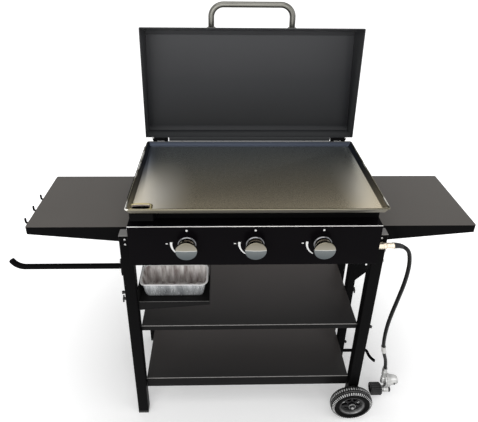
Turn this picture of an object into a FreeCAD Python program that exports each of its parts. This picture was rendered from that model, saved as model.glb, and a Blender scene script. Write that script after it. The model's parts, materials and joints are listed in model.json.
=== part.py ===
import FreeCAD, Part
import math
import os
import re
import Sketcher

# Outdoor gas griddle station: a flat steel griddle plate on a three-burner firebox, a hinged hood, a cart
# on two feet and two wheels, two side shelves, two low shelves, a grease tray, and a gas hose with its regulator.
# Frame of the drawing: X to the right of the cook, Y away from the cook, Z up, floor at Z = 0.
# Lengths are measured from the cart's middle plane in X and from the front rim of the griddle in Y.
# Every sub-part is then moved by the same shift, which puts the origin under the middle of the whole object.

doc = FreeCAD.newDocument("griddle_station")

# Driving dimensions, in millimetres and degrees.
dimensions = {
    # griddle plate
    "griddle_width": 680, "griddle_depth": 358, "rim_height": 948, "plate_wall": 18, "plate_sheet": 4,
    "wall_flare": 8, "slot_length": 56, "slot_width": 16, "slot_from_side": 4, "slot_from_front": 18,
    "slot_rim_height": 3, "slot_rim_width": 4, "foot_height": 3, "foot_size": 24, "foot_inset": 8,
    # firebox under the plate
    "firebox_front": 84, "firebox_rear": 368, "firebox_bottom": 717, "sheet": 2, "top_flange": 34,
    "vent_count": 7, "vent_width": 46, "vent_height": 9, "vent_pitch": 84, "vent_depth": 40,
    "chute_side": 2, "chute_front": 12, "chute_drop": 20, "chute_fall": 40, "chute_depth": 26, "chute_gap": 1,
    # cart frame
    "leg_inner": 351, "leg_width": 35, "leg_depth": 28, "leg_wall": 1.5, "leg_top": 797, "leg_front_y": 79,
    "leg_rear_y": 358, "leg_below_axle": 24, "cap_height": 14, "cap_thickness": 3, "rail_height": 30,
    "rail_width": 16,
    # low shelves
    "middle_shelf_height": 415, "bottom_shelf_height": 160, "middle_lip": 20, "bottom_lip": 42,
    "low_shelf_front": 96, "low_shelf_rear": 372, "shelf_gap": 1,
    # side shelves
    "side_shelf_reach": 663, "side_shelf_front": 116, "side_shelf_rear": 378, "side_shelf_height": 797,
    "skirt_inner": 54, "skirt_outer": 25, "shelf_corner": 5, "bracket_length": 120, "bracket_height": 26,
    "bracket_width": 20,
    # control panel, gas pipe, valves, burners and knobs
    "panel_front": 48, "panel_top": 854, "panel_bottom": 717, "panel_return": 14, "knob_height": 794,
    "knob_pitch": 189, "knob_radius": 30, "knob_reach": 32, "knob_skirt_radius": 24, "knob_gap": 0.5,
    "bezel_radius": 26, "bezel_depth": 5, "stem_radius": 4, "running_fit": 0.1, "stem_hole_radius": 7,
    "stem_in_knob": 16, "pipe_radius": 8, "pipe_drop": 26, "pipe_y": 66, "valve_radius": 8, "valve_depth": 26,
    "riser_radius": 6,
    "burner_radius": 19, "burner_neck_radius": 14, "burner_length": 230, "burner_setback": 26,
    "nozzle_radius": 3, "port_count": 9, "port_pitch": 22, "port_length": 8, "port_width": 3,
    "burner_rail_depth": 20,
    # hood
    "hood_width": 688, "hood_rear_height": 62, "hood_front_height": 95, "hood_sheet": 2, "hood_overlap": 6,
    "hood_rim_gap": 2, "hood_flange": 13, "hood_corner": 12, "hood_lean": 28, "hinge_y": 370,
    "hinge_height": 949, "pin_radius": 3, "knuckle_radius": 7,
    "knuckle_length": 24, "knuckle_gap": 0.5, "hinge_leaf": 3, "hinge_inset": 24, "hood_opening": 92.5,
    "leaf_height": 34, "bracket_drop": 70, "handle_width": 254, "handle_reach": 88, "handle_radius": 9.5,
    "handle_bend": 38, "handle_level": 46, "handle_foot_radius": 14, "handle_foot_depth": 4,
    # grease tray and foil pan
    "tray_length": 222, "tray_front": 90, "tray_depth": 104, "tray_height": 528, "tray_skirt_inner": 35,
    "tray_skirt_outer": 14, "tray_side": 50, "pan_length": 212, "pan_width": 88, "pan_height": 60,
    "pan_taper": 15, "pan_foil": 1, "pan_rim": 5, "pan_corner": 20, "pan_side_gap": 4, "pan_front_gap": 8,
    # wheels
    "wheel_radius": 73, "wheel_width": 32, "rim_radius": 43, "rim_wall": 5, "rim_width": 26, "hub_radius": 13,
    "spoke_width": 9, "spoke_depth": 12, "spoke_count": 6, "tread_count": 30, "tread_depth": 3,
    "tread_width": 6, "tyre_shoulder": 6, "axle_radius": 5, "hub_gap": 0.5, "hub_boss": 2.5,
    "axle_head_radius": 9, "axle_head_height": 6, "axle_inset": 7,
    # towel bar and tool hooks
    "bar_radius": 8, "bar_length": 330, "bar_height": 672, "bar_bend": 40, "bar_turn": 70, "bar_plate": 4,
    "bar_plate_height": 60, "bar_plate_width": 22, "hook_radius": 2.5, "hook_reach": 12, "hook_drop": 12,
    "hook_rise": 12, "hook_bend": 6, "hook_first": 150, "hook_pitch": 57.5,
    # gas bottle hanger on the right
    "hanger_y": 226, "hanger_width": 24, "hanger_foot": 76, "hanger_reach": 41, "hanger_plate": 4,
    "gusset_bottom": 449,
    "gusset_rise": 57, "gusset_top": 530, "hanger_slot": 10, "stay_radius": 5.5, "stay_run": 89,
    "stay_corner": 8, "stay_bend": 46, "stay_turn": 52, "stay_height": 90,
    # hose and regulator
    "hose_radius": 6, "inlet_radius": 10, "inlet_length": 20, "ferrule_radius": 9, "ferrule_length": 30,
    "lower_ferrule": 18, "end_gap": 0.3, "regulator_radius": 21, "regulator_depth": 20, "regulator_dome": 28,
    "regulator_drop": 46, "chamber_radius": 11, "chamber_length": 27, "chamber_drop": 50, "coupling_radius": 20.5,
    "coupling_length": 36, "regulator_stem": 8, "sleeve_wall": 1, "sleeve_gap": 1, "sleeve_length": 34,
    # fasteners
    "thumb_radius": 9, "thumb_length": 12, "wing_thickness": 4, "wing_reach": 12, "screw_radius": 3.5,
    "screw_height": 2, "bolt_radius": 6, "bolt_height": 4, "bolt_margin": 4,
}

sheet = doc.addObject("Spreadsheet::Sheet", "Sizes")
for row, (alias, value) in enumerate(dimensions.items(), start=1):
    sheet.set("A%d" % row, alias)
    sheet.set("B%d" % row, str(value))
    sheet.setAlias("B%d" % row, alias)
doc.recompute()


def bind(text):
    """Write the sheet's name before each size that an expression uses."""
    return re.sub(r"\b[a-z][a-z_]*\b", lambda word: "Sizes." + word.group(0)
                  if word.group(0) in dimensions else word.group(0), str(text))


def value(name):
    return float(sheet.get(name))


# The object reaches from the towel bar's tip on the left to the side shelf on the right, and from the
# front rim to the open hood at the back. The shift puts the origin under the middle of that box.
leg_outer = "(leg_inner + leg_width)"
hanger_face = "(leg_inner + hanger_width)"
bar_tip = "(%s + bar_length)" % leg_outer
hood_length = "(hinge_y + hood_rim_gap + hood_sheet)"
rear_wall = "(knuckle_radius + hood_rim_gap / 2)"
top_run = "(%s - hood_lean - %s)" % (hood_length, rear_wall)
top_slope = "((hood_front_height - hood_rear_height) / %s)" % top_run
front_slope = "(hood_lean / (hood_front_height + hood_overlap))"
# The hood's rearmost line when open lies on its rounded front corner: the corner's centre is worked out from
# the slopes of the top and the front, then turned with the hood.
top_length = "sqrt(1 + %s * %s)" % (top_slope, top_slope)
front_length = "sqrt(1 + %s * %s)" % (front_slope, front_slope)
centre_drop = "(hood_corner * (%s + %s * %s) / (1 + %s * %s))" % (
    top_length, top_slope, front_length, top_slope, front_slope)
centre_back = "(%s - hood_lean - hood_corner * %s + %s * %s)" % (
    hood_length, front_length, front_slope, centre_drop)
hood_back = "(hinge_y - %s * cos(hood_opening * 1 deg) + (hood_front_height - %s) * sin(hood_opening * 1 deg)" % (
    centre_back, centre_drop) + " + hood_corner)"
shift_x = "(%s - side_shelf_reach) / 2" % bar_tip
shift_y = "-%s / 2" % hood_back
subparts = []


def place(item, at=("0", "0", "0"), shifted=True):
    """Bind an object's position to sizes, with the shift of the whole object added."""
    shifts = (shift_x, shift_y, "0") if shifted else ("0", "0", "0")
    for axis, offset, shift in zip("xyz", at, shifts):
        item.setExpression("Placement.Base." + axis, bind("(%s) + (%s)" % (shift, offset)))


def keep(item, label):
    item.Label = label
    subparts.append(item)
    return item


def box(name, low, size, top=False):
    item = doc.addObject("Part::Box", name)
    for side, length in zip(("Length", "Width", "Height"), size):
        item.setExpression(side, bind(length))
    place(item, low, shifted=top)
    return item


def cylinder(name, at, radius, length, direction="Z", top=False):
    item = doc.addObject("Part::Cylinder", name)
    item.setExpression("Radius", bind(radius))
    item.setExpression("Height", bind(length))
    turn = {"X": (0, 1, 0, 90), "-X": (0, 1, 0, -90), "Y": (1, 0, 0, -90), "-Y": (1, 0, 0, 90), "Z": (0, 0, 1, 0)}
    x, y, z, angle = turn[direction]
    item.Placement = FreeCAD.Placement(FreeCAD.Vector(), FreeCAD.Rotation(FreeCAD.Vector(x, y, z), angle))
    place(item, at, shifted=top)
    return item


def cut(label, base, tools):
    """Take one or more tools out of a base."""
    result = doc.addObject("Part::Cut", label)
    result.Base = base
    result.Tool = tools[0] if len(tools) == 1 else group(label + "_tools", tools)
    return result


def group(label, members):
    result = doc.addObject("Part::Compound", label)
    result.Links = members
    return result


def join(label, members):
    result = doc.addObject("Part::MultiFuse", label)
    result.Shapes = members
    return result


def finish(item, label):
    """A boolean or compound drawn in the cart's frame becomes a sub-part."""
    place(item)
    return keep(item, label)


def new_body(label, at=("0", "0", "0"), shifted=True, kept=True):
    body = doc.addObject("PartDesign::Body", label)
    place(body, at, shifted)
    if kept:
        keep(body, label)
    return body


def new_sketch(body, role, offset="0"):
    """A sketch on one of the body's own origin planes, moved along its normal by an offset."""
    plane = [feature for feature in body.Origin.OriginFeatures if feature.Role == role][0]
    sketch = body.newObject("Sketcher::SketchObject", "Outline")
    sketch.AttachmentSupport = [(plane, "")]
    sketch.MapMode = "FlatFace"
    sketch.setExpression("AttachmentOffset.Base.z", bind(offset))
    return sketch


def outline(sketch, points):
    """A closed polygon whose corners are bound to sizes."""
    first = sketch.GeometryCount
    count = len(points)
    circle = [FreeCAD.Vector(50 * math.cos(2 * math.pi * i / count), 50 * math.sin(2 * math.pi * i / count), 0)
              for i in range(count)]
    for i in range(count):
        sketch.addGeometry(Part.LineSegment(circle[i], circle[(i + 1) % count]))
    for i in range(count):
        sketch.addConstraint(Sketcher.Constraint("Coincident", first + i, 2, first + (i + 1) % count, 1))
    for i, (across, along) in enumerate(points):
        for kind, start, size in (("DistanceX", circle[i].x, across), ("DistanceY", circle[i].y, along)):
            number = sketch.addConstraint(Sketcher.Constraint(kind, -1, 1, first + i, 1, start))
            sketch.setExpression("Constraints[%d]" % number, bind(size))
    return sketch


def rectangle(sketch, x0, x1, y0, y1):
    return outline(sketch, [(x0, y0), (x1, y0), (x1, y1), (x0, y1)])


def ring(sketch, across, along, radius):
    """A circle whose centre and radius are bound to sizes."""
    number = sketch.addGeometry(Part.Circle(FreeCAD.Vector(1, 1, 0), FreeCAD.Vector(0, 0, 1), 5))
    for kind, start, size in (("DistanceX", 1, across), ("DistanceY", 1, along)):
        index = sketch.addConstraint(Sketcher.Constraint(kind, -1, 1, number, 3, start))
        sketch.setExpression("Constraints[%d]" % index, bind(size))
    index = sketch.addConstraint(Sketcher.Constraint("Radius", number, 5))
    sketch.setExpression("Constraints[%d]" % index, bind(radius))
    return sketch


def pad(body, sketch, length, middle=False, back=False):
    feature = body.newObject("PartDesign::Pad", "Pad")
    feature.Profile = sketch
    feature.setExpression("Length", bind(length))
    feature.Midplane = middle
    feature.Reversed = back
    body.Tip = feature
    return feature


def pocket(body, sketch, length, middle=False, back=False):
    feature = body.newObject("PartDesign::Pocket", "Pocket")
    feature.Profile = sketch
    feature.setExpression("Length", bind(length))
    feature.Midplane = middle
    feature.Reversed = back
    body.Tip = feature
    return feature


def loft(body, sketches, hollow=False):
    feature = body.newObject("PartDesign::SubtractiveLoft" if hollow else "PartDesign::AdditiveLoft", "Loft")
    feature.Profile = sketches[0]
    feature.Sections = sketches[1:]
    feature.Ruled = True
    body.Tip = feature
    return feature


def turned(body, sketch, axis="V_Axis", hollow=False):
    feature = body.newObject("PartDesign::Groove" if hollow else "PartDesign::Revolution", "Turned")
    feature.Profile = sketch
    feature.ReferenceAxis = (sketch, [axis])
    feature.Angle = 360
    body.Tip = feature
    return feature


def origin_axis(body, role):
    return [feature for feature in body.Origin.OriginFeatures if feature.Role == role][0]


def round_edges(body, radius, chosen):
    """Fillet the edges of the body's last feature that a test picks."""
    doc.recompute()
    last = body.Tip
    names = ["Edge%d" % (i + 1) for i, edge in enumerate(last.Shape.Edges) if chosen(edge)]
    feature = body.newObject("PartDesign::Fillet", "Fillet")
    feature.Base = (last, names)
    feature.setExpression("Radius", bind(radius))
    body.Tip = feature
    return feature


def runs_along(edge, axis):
    """True for a straight edge parallel to X, Y or Z."""
    if edge.Curve.TypeId != "Part::GeomLine":
        return False
    direction = edge.Curve.Direction
    return abs(getattr(direction, axis)) > 0.999


def mirrored_pair(maker, label):
    """The same piece on the left and on the right of the cart."""
    return [maker(label + "_left", -1), maker(label + "_right", 1)]


def griddle_plate():
    """A shallow flared pan pressed from thick sheet, with a grease slot ringed by a raised bead."""
    body = new_body("griddle_plate", at=("0", "0", "rim_height"))
    half = "griddle_width / 2"
    for hollow, inset, depth in ((False, "0", "plate_wall + plate_sheet"), (True, "plate_sheet", "plate_wall")):
        sections = []
        for level, narrower in (("0", "0"), ("-(%s)" % depth, "wall_flare")):
            sketch = new_sketch(body, "XY_Plane", level)
            side = "%s - (%s) - (%s)" % (half, inset, narrower)
            rectangle(sketch, "-(%s)" % side, side, "(%s) + (%s)" % (inset, narrower),
                      "griddle_depth - (%s) - (%s)" % (inset, narrower))
            sections.append(sketch)
        loft(body, sections, hollow)
    left = "-%s + wall_flare + slot_from_side" % half
    near = "slot_from_front"
    bead = new_sketch(body, "XY_Plane", "-plate_wall")
    rectangle(bead, left + " - slot_rim_width", left + " + slot_length + slot_rim_width",
              near + " - slot_rim_width", near + " + slot_width + slot_rim_width")
    pad(body, bead, "slot_rim_height")
    hole = new_sketch(body, "XY_Plane", "-plate_wall + slot_rim_height")
    rectangle(hole, left, left + " + slot_length", near, near + " + slot_width")
    pocket(body, hole, "slot_rim_height + plate_sheet + foot_height")
    return body


def griddle_feet():
    """Four pads welded under the plate that locate it on the firebox flange."""
    pads = []
    for i, (side, end) in enumerate(((-1, 0), (1, 0), (1, 1), (-1, 1))):
        x = "%d * (griddle_width / 2 - wall_flare - foot_size / 2 - foot_inset) - foot_size / 2" % side
        y = "firebox_front + foot_inset" if end == 0 else "griddle_depth - wall_flare - foot_size - foot_inset"
        pads.append(box("foot_pad_%d" % i, (x, y, "rim_height - plate_wall - plate_sheet - foot_height"),
                        ("foot_size", "foot_size", "foot_height")))
    return finish(group("griddle_feet_group", pads), "griddle_feet")


firebox_top = "(rim_height - plate_wall - plate_sheet - foot_height)"
slot_left = "(-griddle_width / 2 + wall_flare + slot_from_side)"
chute_left = "%s - chute_side" % slot_left
chute_right = "%s + slot_length + chute_side" % slot_left
chute_low = "(chute_drop + chute_fall)"
firebox_height = "(%s - firebox_bottom)" % firebox_top


def firebox():
    """A folded steel box, open below, with an inward flange that carries the griddle plate."""
    body = new_body("firebox", at=("0", "0", firebox_top))
    shell = new_sketch(body, "XY_Plane")
    rectangle(shell, "-leg_inner", "leg_inner", "firebox_front", "firebox_rear")
    pad(body, shell, firebox_height, back=True)
    inside = new_sketch(body, "XY_Plane", "-sheet")
    rectangle(inside, "-leg_inner + sheet", "leg_inner - sheet", "firebox_front + sheet", "firebox_rear - sheet")
    pocket(body, inside, firebox_height)
    mouth = new_sketch(body, "XY_Plane")
    rectangle(mouth, "-leg_inner + top_flange", "leg_inner - top_flange", "firebox_front + top_flange",
              "firebox_rear - top_flange")
    pocket(body, mouth, "2 * sheet")
    inlets = new_sketch(body, "XZ_Plane", "-firebox_front")
    for step in (-1, 0, 1):
        ring(inlets, "%d * knob_pitch" % step, "knob_height - (%s)" % firebox_top, "burner_neck_radius")
    pocket(body, inlets, "2 * sheet", middle=True)
    window = new_sketch(body, "XZ_Plane", "-firebox_front")
    rectangle(window, chute_left, chute_right, "-%s" % chute_low, "-sheet - 2 * chute_gap")
    pocket(body, window, "2 * sheet", middle=True)
    vents = new_sketch(body, "XZ_Plane", "-firebox_rear")
    rectangle(vents, "-3 * vent_pitch - vent_width / 2", "-3 * vent_pitch + vent_width / 2",
              "-vent_depth - vent_height", "-vent_depth")
    slots = pocket(body, vents, "4 * sheet", middle=True)
    row = body.newObject("PartDesign::LinearPattern", "VentRow")
    row.Originals = [slots]
    row.Direction = (origin_axis(body, "X_Axis"), [""])
    row.setExpression("Length", bind("(vent_count - 1) * vent_pitch"))
    row.setExpression("Occurrences", bind("vent_count"))
    body.Tip = row
    return body


def grease_chute():
    """A folded duct that takes the grease from the slot, through the firebox's front wall, down to the pan."""
    body = new_body("grease_chute", at=(chute_left, "0", firebox_top))
    side = new_sketch(body, "YZ_Plane")
    back = "firebox_front + chute_front + chute_depth"
    outline(side, [("chute_front", "foot_height - chute_gap"), ("chute_front", "-chute_drop"),
                   ("firebox_front + chute_front", "-" + chute_low),
                   ("firebox_front + chute_front", "-%s - 2 * sheet" % firebox_height),
                   (back, "-%s - 2 * sheet" % firebox_height), (back, "-sheet - 2 * chute_gap"),
                   ("firebox_front - chute_gap", "-sheet - 2 * chute_gap"),
                   ("firebox_front - chute_gap", "foot_height - chute_gap")])
    pad(body, side, "slot_length + 2 * chute_side")
    inner = new_sketch(body, "YZ_Plane", "chute_gap")
    outline(inner, [("chute_front + chute_gap", "2 * foot_height"),
                    ("chute_front + chute_gap", "-chute_drop + chute_gap"),
                    ("firebox_front + chute_front + chute_gap", "-%s + chute_gap" % chute_low),
                    ("firebox_front + chute_front + chute_gap", "-%s - 4 * sheet" % firebox_height),
                    (back + " - chute_gap", "-%s - 4 * sheet" % firebox_height),
                    (back + " - chute_gap", "-sheet - 3 * chute_gap"),
                    ("firebox_front - 2 * chute_gap", "-sheet - 3 * chute_gap"),
                    ("firebox_front - 2 * chute_gap", "2 * foot_height")])
    pocket(body, inner, "slot_length + 2 * chute_side - 2 * chute_gap", back=True)
    return body


def control_panel():
    """A folded front panel with a top return, a bottom return and three holes for the valve stems."""
    body = new_body("control_panel")
    section = new_sketch(body, "YZ_Plane")
    outline(section, [("panel_front", "panel_bottom"), ("panel_front + panel_return", "panel_bottom"),
                      ("panel_front + panel_return", "panel_bottom + sheet"),
                      ("panel_front + sheet", "panel_bottom + sheet"),
                      ("panel_front + sheet", "panel_top - sheet"), ("firebox_front", "panel_top - sheet"),
                      ("firebox_front", "panel_top"), ("panel_front", "panel_top")])
    pad(body, section, "2 * leg_inner", middle=True)
    round_edges(body, "sheet * 0.8", lambda edge: runs_along(edge, "x")
                and abs(edge.CenterOfMass.y - value("panel_front")) < 0.01)
    stems = new_sketch(body, "XZ_Plane", "-panel_front")
    for step in (-1, 0, 1):
        ring(stems, "%d * knob_pitch" % step, "knob_height", "stem_hole_radius")
    pocket(body, stems, "4 * sheet", middle=True)
    return body


def leg(name, side, front):
    """A rectangular steel tube, open at both ends under its caps."""
    left_x = "leg_inner" if side > 0 else "-leg_inner - leg_width"
    y = "leg_front_y" if front else "leg_rear_y"
    low = "wheel_radius - leg_below_axle" if side > 0 else "cap_height - cap_thickness"
    body = new_body(name, at=(left_x, y, low))
    tube = new_sketch(body, "XY_Plane")
    rectangle(tube, "0", "leg_width", "0", "leg_depth")
    top = "leg_top - cap_thickness" if front else "side_shelf_height - sheet - cap_thickness"
    pad(body, tube, "%s - (%s)" % (top, low))
    round_edges(body, "leg_wall * 1.6", lambda edge: runs_along(edge, "z"))
    bore = new_sketch(body, "XY_Plane")
    rectangle(bore, "leg_wall", "leg_width - leg_wall", "leg_wall", "leg_depth - leg_wall")
    pocket(body, bore, "leg_top", back=True)
    if side > 0:
        axle = new_sketch(body, "XZ_Plane")
        ring(axle, "leg_width / 2 - axle_inset", "leg_below_axle", "axle_radius + running_fit")
        pocket(body, axle, "4 * leg_depth", middle=True)
    return body


def leg_caps():
    """Plastic caps: one on each leg's top, and one foot under each leg on the left."""
    tops = []
    feet = []
    for i, (side, y) in enumerate(((-1, "leg_front_y"), (-1, "leg_rear_y"), (1, "leg_front_y"), (1, "leg_rear_y"))):
        x = "leg_inner" if side > 0 else "-leg_inner - leg_width"
        top = "leg_top" if y == "leg_front_y" else "side_shelf_height - sheet"
        tops.append(box("top_cap_%d" % i, (x, y, top + " - cap_thickness"),
                        ("leg_width", "leg_depth", "cap_thickness")))
        if side < 0:
            feet.append(box("foot_cap_%d" % i, (x, y, "0"), ("leg_width", "leg_depth", "cap_height - cap_thickness")))
    finish(group("leg_top_caps_group", tops), "leg_top_caps")
    finish(group("leg_feet_group", feet), "leg_feet")


def side_rail(label, side):
    """An angle between the front and rear legs, under the end of a side shelf."""
    x = "leg_inner + leg_width - rail_width" if side > 0 else "-leg_inner - leg_width"
    body = new_body(label, at=(x, "leg_front_y + leg_depth", "leg_top - sheet - rail_height"))
    section = new_sketch(body, "XZ_Plane")
    wall = "rail_width - sheet" if side > 0 else "0"
    inner = "rail_width" if side > 0 else "sheet"
    points = [("0", "rail_height"), ("0", "rail_height - sheet"), (wall, "rail_height - sheet"), (wall, "0"),
              (inner, "0"), (inner, "rail_height")]
    if side < 0:
        points = [("0", "0"), ("sheet", "0"), ("sheet", "rail_height - sheet"),
                  ("rail_width", "rail_height - sheet"), ("rail_width", "rail_height"),
                  ("0", "rail_height")]
    outline(section, points)
    pad(body, section, "leg_rear_y - leg_front_y - leg_depth", back=True)
    return body


def low_shelf(label, height, lip):
    """A shelf folded from one sheet, with a lip down each side, between the legs."""
    body = new_body(label, at=("0", "0", height))
    plate = new_sketch(body, "XY_Plane")
    half = "leg_inner - shelf_gap"
    rectangle(plate, "-(%s)" % half, half, "low_shelf_front", "low_shelf_rear")
    pad(body, plate, lip, back=True)
    round_edges(body, "sheet * 0.8", lambda edge: runs_along(edge, "x") and edge.CenterOfMass.z > -0.01)
    under = new_sketch(body, "XY_Plane", "-sheet")
    rectangle(under, "-(%s) + sheet" % half, "%s - sheet" % half, "low_shelf_front + sheet",
              "low_shelf_rear - sheet")
    pocket(body, under, lip)
    return body


def side_shelf(label, side):
    """A side shelf: a flat top with a skirt that tapers towards its outer end."""
    body = new_body(label, at=("0", "0", "side_shelf_height"))
    inner = "leg_inner + shelf_gap"
    face = new_sketch(body, "XZ_Plane", "-side_shelf_rear")
    ends = [(inner, "0"), ("side_shelf_reach", "0"), ("side_shelf_reach", "-skirt_outer"),
            (leg_outer, "-skirt_inner"), (leg_outer, "-sheet"), (inner, "-sheet")]
    outline(face, [("%d * (%s)" % (side, x), z) for x, z in ends])
    pad(body, face, "side_shelf_rear - side_shelf_front")
    round_edges(body, "shelf_corner", lambda edge: runs_along(edge, "z")
                and abs(edge.CenterOfMass.x) > value("side_shelf_reach") - 0.01)
    under = new_sketch(body, "XY_Plane", "-sheet")
    span = ["%d * (leg_inner + leg_width + sheet)" % side, "%d * (side_shelf_reach - sheet)" % side]
    if side < 0:
        span.reverse()
    rectangle(under, span[0], span[1], "side_shelf_front + sheet", "side_shelf_rear - sheet")
    pocket(body, under, "skirt_inner + 1")
    return body


def shelf_bracket(label, side):
    """Two angles that bolt a side shelf to the legs' outer faces, under its top."""
    angles = []
    for i, y in enumerate(("side_shelf_front + sheet", "side_shelf_rear - sheet - bracket_width")):
        x = "leg_inner + leg_width + sheet" if side > 0 else "-leg_inner - leg_width - sheet - bracket_length"
        flat = box("%s_flat_%d" % (label, i), (x, y, "side_shelf_height - 2 * sheet"),
                   ("bracket_length", "bracket_width", "sheet"))
        wall_x = "leg_inner + leg_width + sheet" if side > 0 else "-leg_inner - leg_width - 2 * sheet"
        wall = box("%s_wall_%d" % (label, i), (wall_x, y, "side_shelf_height - 2 * sheet - bracket_height"),
                   ("sheet", "bracket_width", "bracket_height"))
        angles.append(join("%s_angle_%d" % (label, i), [flat, wall]))
    return finish(group(label + "_group", angles), label)


def burner(label, step):
    """A straight tube burner with a row of ports down each side and a narrow neck over the valve's nozzle."""
    body = new_body(label, at=("%d * knob_pitch" % step, "firebox_front + burner_setback", "knob_height"))
    tube = new_sketch(body, "XZ_Plane")
    ring(tube, "0", "0", "burner_radius")
    pad(body, tube, "burner_length", back=True)
    neck = new_sketch(body, "XZ_Plane")
    ring(neck, "0", "0", "burner_neck_radius")
    pad(body, neck, "burner_setback")
    bore = new_sketch(body, "XZ_Plane", "burner_setback")
    ring(bore, "0", "0", "burner_neck_radius - sheet")
    pocket(body, bore, "burner_setback + burner_length - sheet")
    port = new_sketch(body, "YZ_Plane")
    rectangle(port, "port_pitch", "port_pitch + port_length", "-port_width / 2", "port_width / 2")
    ports = pocket(body, port, "2 * burner_radius + port_width", middle=True)
    row = body.newObject("PartDesign::LinearPattern", "PortRow")
    row.Originals = [ports]
    row.Direction = (origin_axis(body, "Y_Axis"), [""])
    row.setExpression("Length", bind("(port_count - 1) * port_pitch"))
    row.setExpression("Occurrences", bind("port_count"))
    body.Tip = row
    return body


def burner_rail():
    """An angle across the firebox that carries the burners' closed ends."""
    body = new_body("burner_rail", at=("0", "firebox_front + burner_setback + burner_length - 2 * burner_rail_depth",
                                       "knob_height - burner_radius"))
    section = new_sketch(body, "YZ_Plane")
    outline(section, [("0", "-sheet"), ("burner_rail_depth - sheet", "-sheet"),
                      ("burner_rail_depth - sheet", "-burner_rail_depth"), ("burner_rail_depth", "-burner_rail_depth"),
                      ("burner_rail_depth", "0"), ("0", "0")])
    pad(body, section, "2 * (leg_inner - sheet)", middle=True)
    return body


def gas_pipe():
    """The pipe behind the control panel, with a short riser under each valve."""
    body = new_body("gas_pipe", at=("-knob_pitch - 2 * pipe_radius", "pipe_y", "knob_height - pipe_drop"))
    tube = new_sketch(body, "YZ_Plane")
    ring(tube, "0", "0", "pipe_radius")
    pad(body, tube, "leg_inner + knob_pitch + 2 * pipe_radius")
    risers = new_sketch(body, "XY_Plane")
    for step in (0, 1, 2):
        ring(risers, "2 * pipe_radius + %d * knob_pitch" % step, "0", "riser_radius")
    pad(body, risers, "pipe_drop - valve_radius * 0.7")
    return body


def gas_inlet():
    """A brass hexagon at the pipe's right end."""
    body = new_body("gas_inlet", at=("leg_inner", "pipe_y", "knob_height - pipe_drop"))
    hexagon = new_sketch(body, "YZ_Plane")
    corners = [(math.cos(math.pi * i / 3), math.sin(math.pi * i / 3)) for i in range(6)]
    outline(hexagon, [("%.5f * inlet_radius" % across, "%.5f * inlet_radius" % up) for across, up in corners])
    pad(body, hexagon, "inlet_length")
    return body


def valve(label, step):
    """A gas valve: a round body on its riser, a nozzle into the burner and a stem through the panel."""
    body = new_body(label, at=("%d * knob_pitch" % step, "0", "knob_height"))
    section = new_sketch(body, "YZ_Plane")
    tip = "panel_front - bezel_depth - knob_gap - stem_in_knob"
    nozzle = "firebox_front + sheet"
    outline(section, [(tip, "0"), (nozzle, "0"), (nozzle, "nozzle_radius"),
                      ("pipe_y + valve_depth / 2", "nozzle_radius"), ("pipe_y + valve_depth / 2", "valve_radius"),
                      ("pipe_y - valve_depth / 2", "valve_radius"), ("pipe_y - valve_depth / 2", "stem_radius"),
                      (tip, "stem_radius")])
    turned(body, section, "H_Axis")
    seat = new_sketch(body, "XY_Plane", "-pipe_drop")
    ring(seat, "0", "pipe_y", "riser_radius")
    pocket(body, seat, "pipe_drop - valve_radius * 0.7", back=True)
    return body


def bezels():
    """Three pressed rings on the panel, one round each valve stem."""
    rings = []
    for i, step in enumerate((-1, 0, 1)):
        across = "%d * knob_pitch" % step
        disc = cylinder("bezel_disc_%d" % i, (across, "panel_front - bezel_depth", "knob_height"),
                        "bezel_radius", "bezel_depth", "Y")
        hole = cylinder("bezel_hole_%d" % i, (across, "panel_front - 2 * bezel_depth", "knob_height"),
                        "stem_hole_radius", "3 * bezel_depth", "Y")
        rings.append(cut("bezel_ring_%d" % i, disc, [hole]))
    return finish(group("knob_bezels_group", rings), "knob_bezels")


def knob(label, step):
    """A turned knob with a waisted skirt, a wide face, a raised pointer and a bore for the stem."""
    body = new_body(label, at=("%d * knob_pitch" % step, "panel_front - bezel_depth - knob_gap", "knob_height"))
    section = new_sketch(body, "YZ_Plane")
    face = "-(knob_reach - bezel_depth)"
    outline(section, [("0", "0"), ("0", "knob_skirt_radius"), ("-knob_reach * 0.2", "knob_skirt_radius"),
                      ("-knob_reach * 0.45", "knob_skirt_radius - 2"), (face + " + 7", "knob_radius - 1"),
                      (face + " + 5", "knob_radius"), (face + " + 2", "knob_radius - 0.5"),
                      (face, "knob_radius - 3"), (face, "0")])
    turned(body, section, "H_Axis")
    pointer = new_sketch(body, "XZ_Plane", "knob_reach - bezel_depth")
    rectangle(pointer, "-2.5", "2.5", "knob_radius * 0.15", "knob_radius - 4")
    pad(body, pointer, "1.5")
    bore = new_sketch(body, "XZ_Plane")
    ring(bore, "0", "0", "stem_radius + running_fit")
    pocket(body, bore, "stem_in_knob + knob_gap", back=True)
    return body


def hang(item):
    """Place a piece drawn closed about the hinge line where the hood stands open."""
    item.Placement = FreeCAD.Placement(FreeCAD.Vector(), FreeCAD.Rotation(FreeCAD.Vector(-1, 0, 0), 90))
    item.setExpression("Placement.Rotation.Angle", bind("hood_opening"))
    place(item, ("0", "hinge_y", "hinge_height"))
    return item


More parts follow.
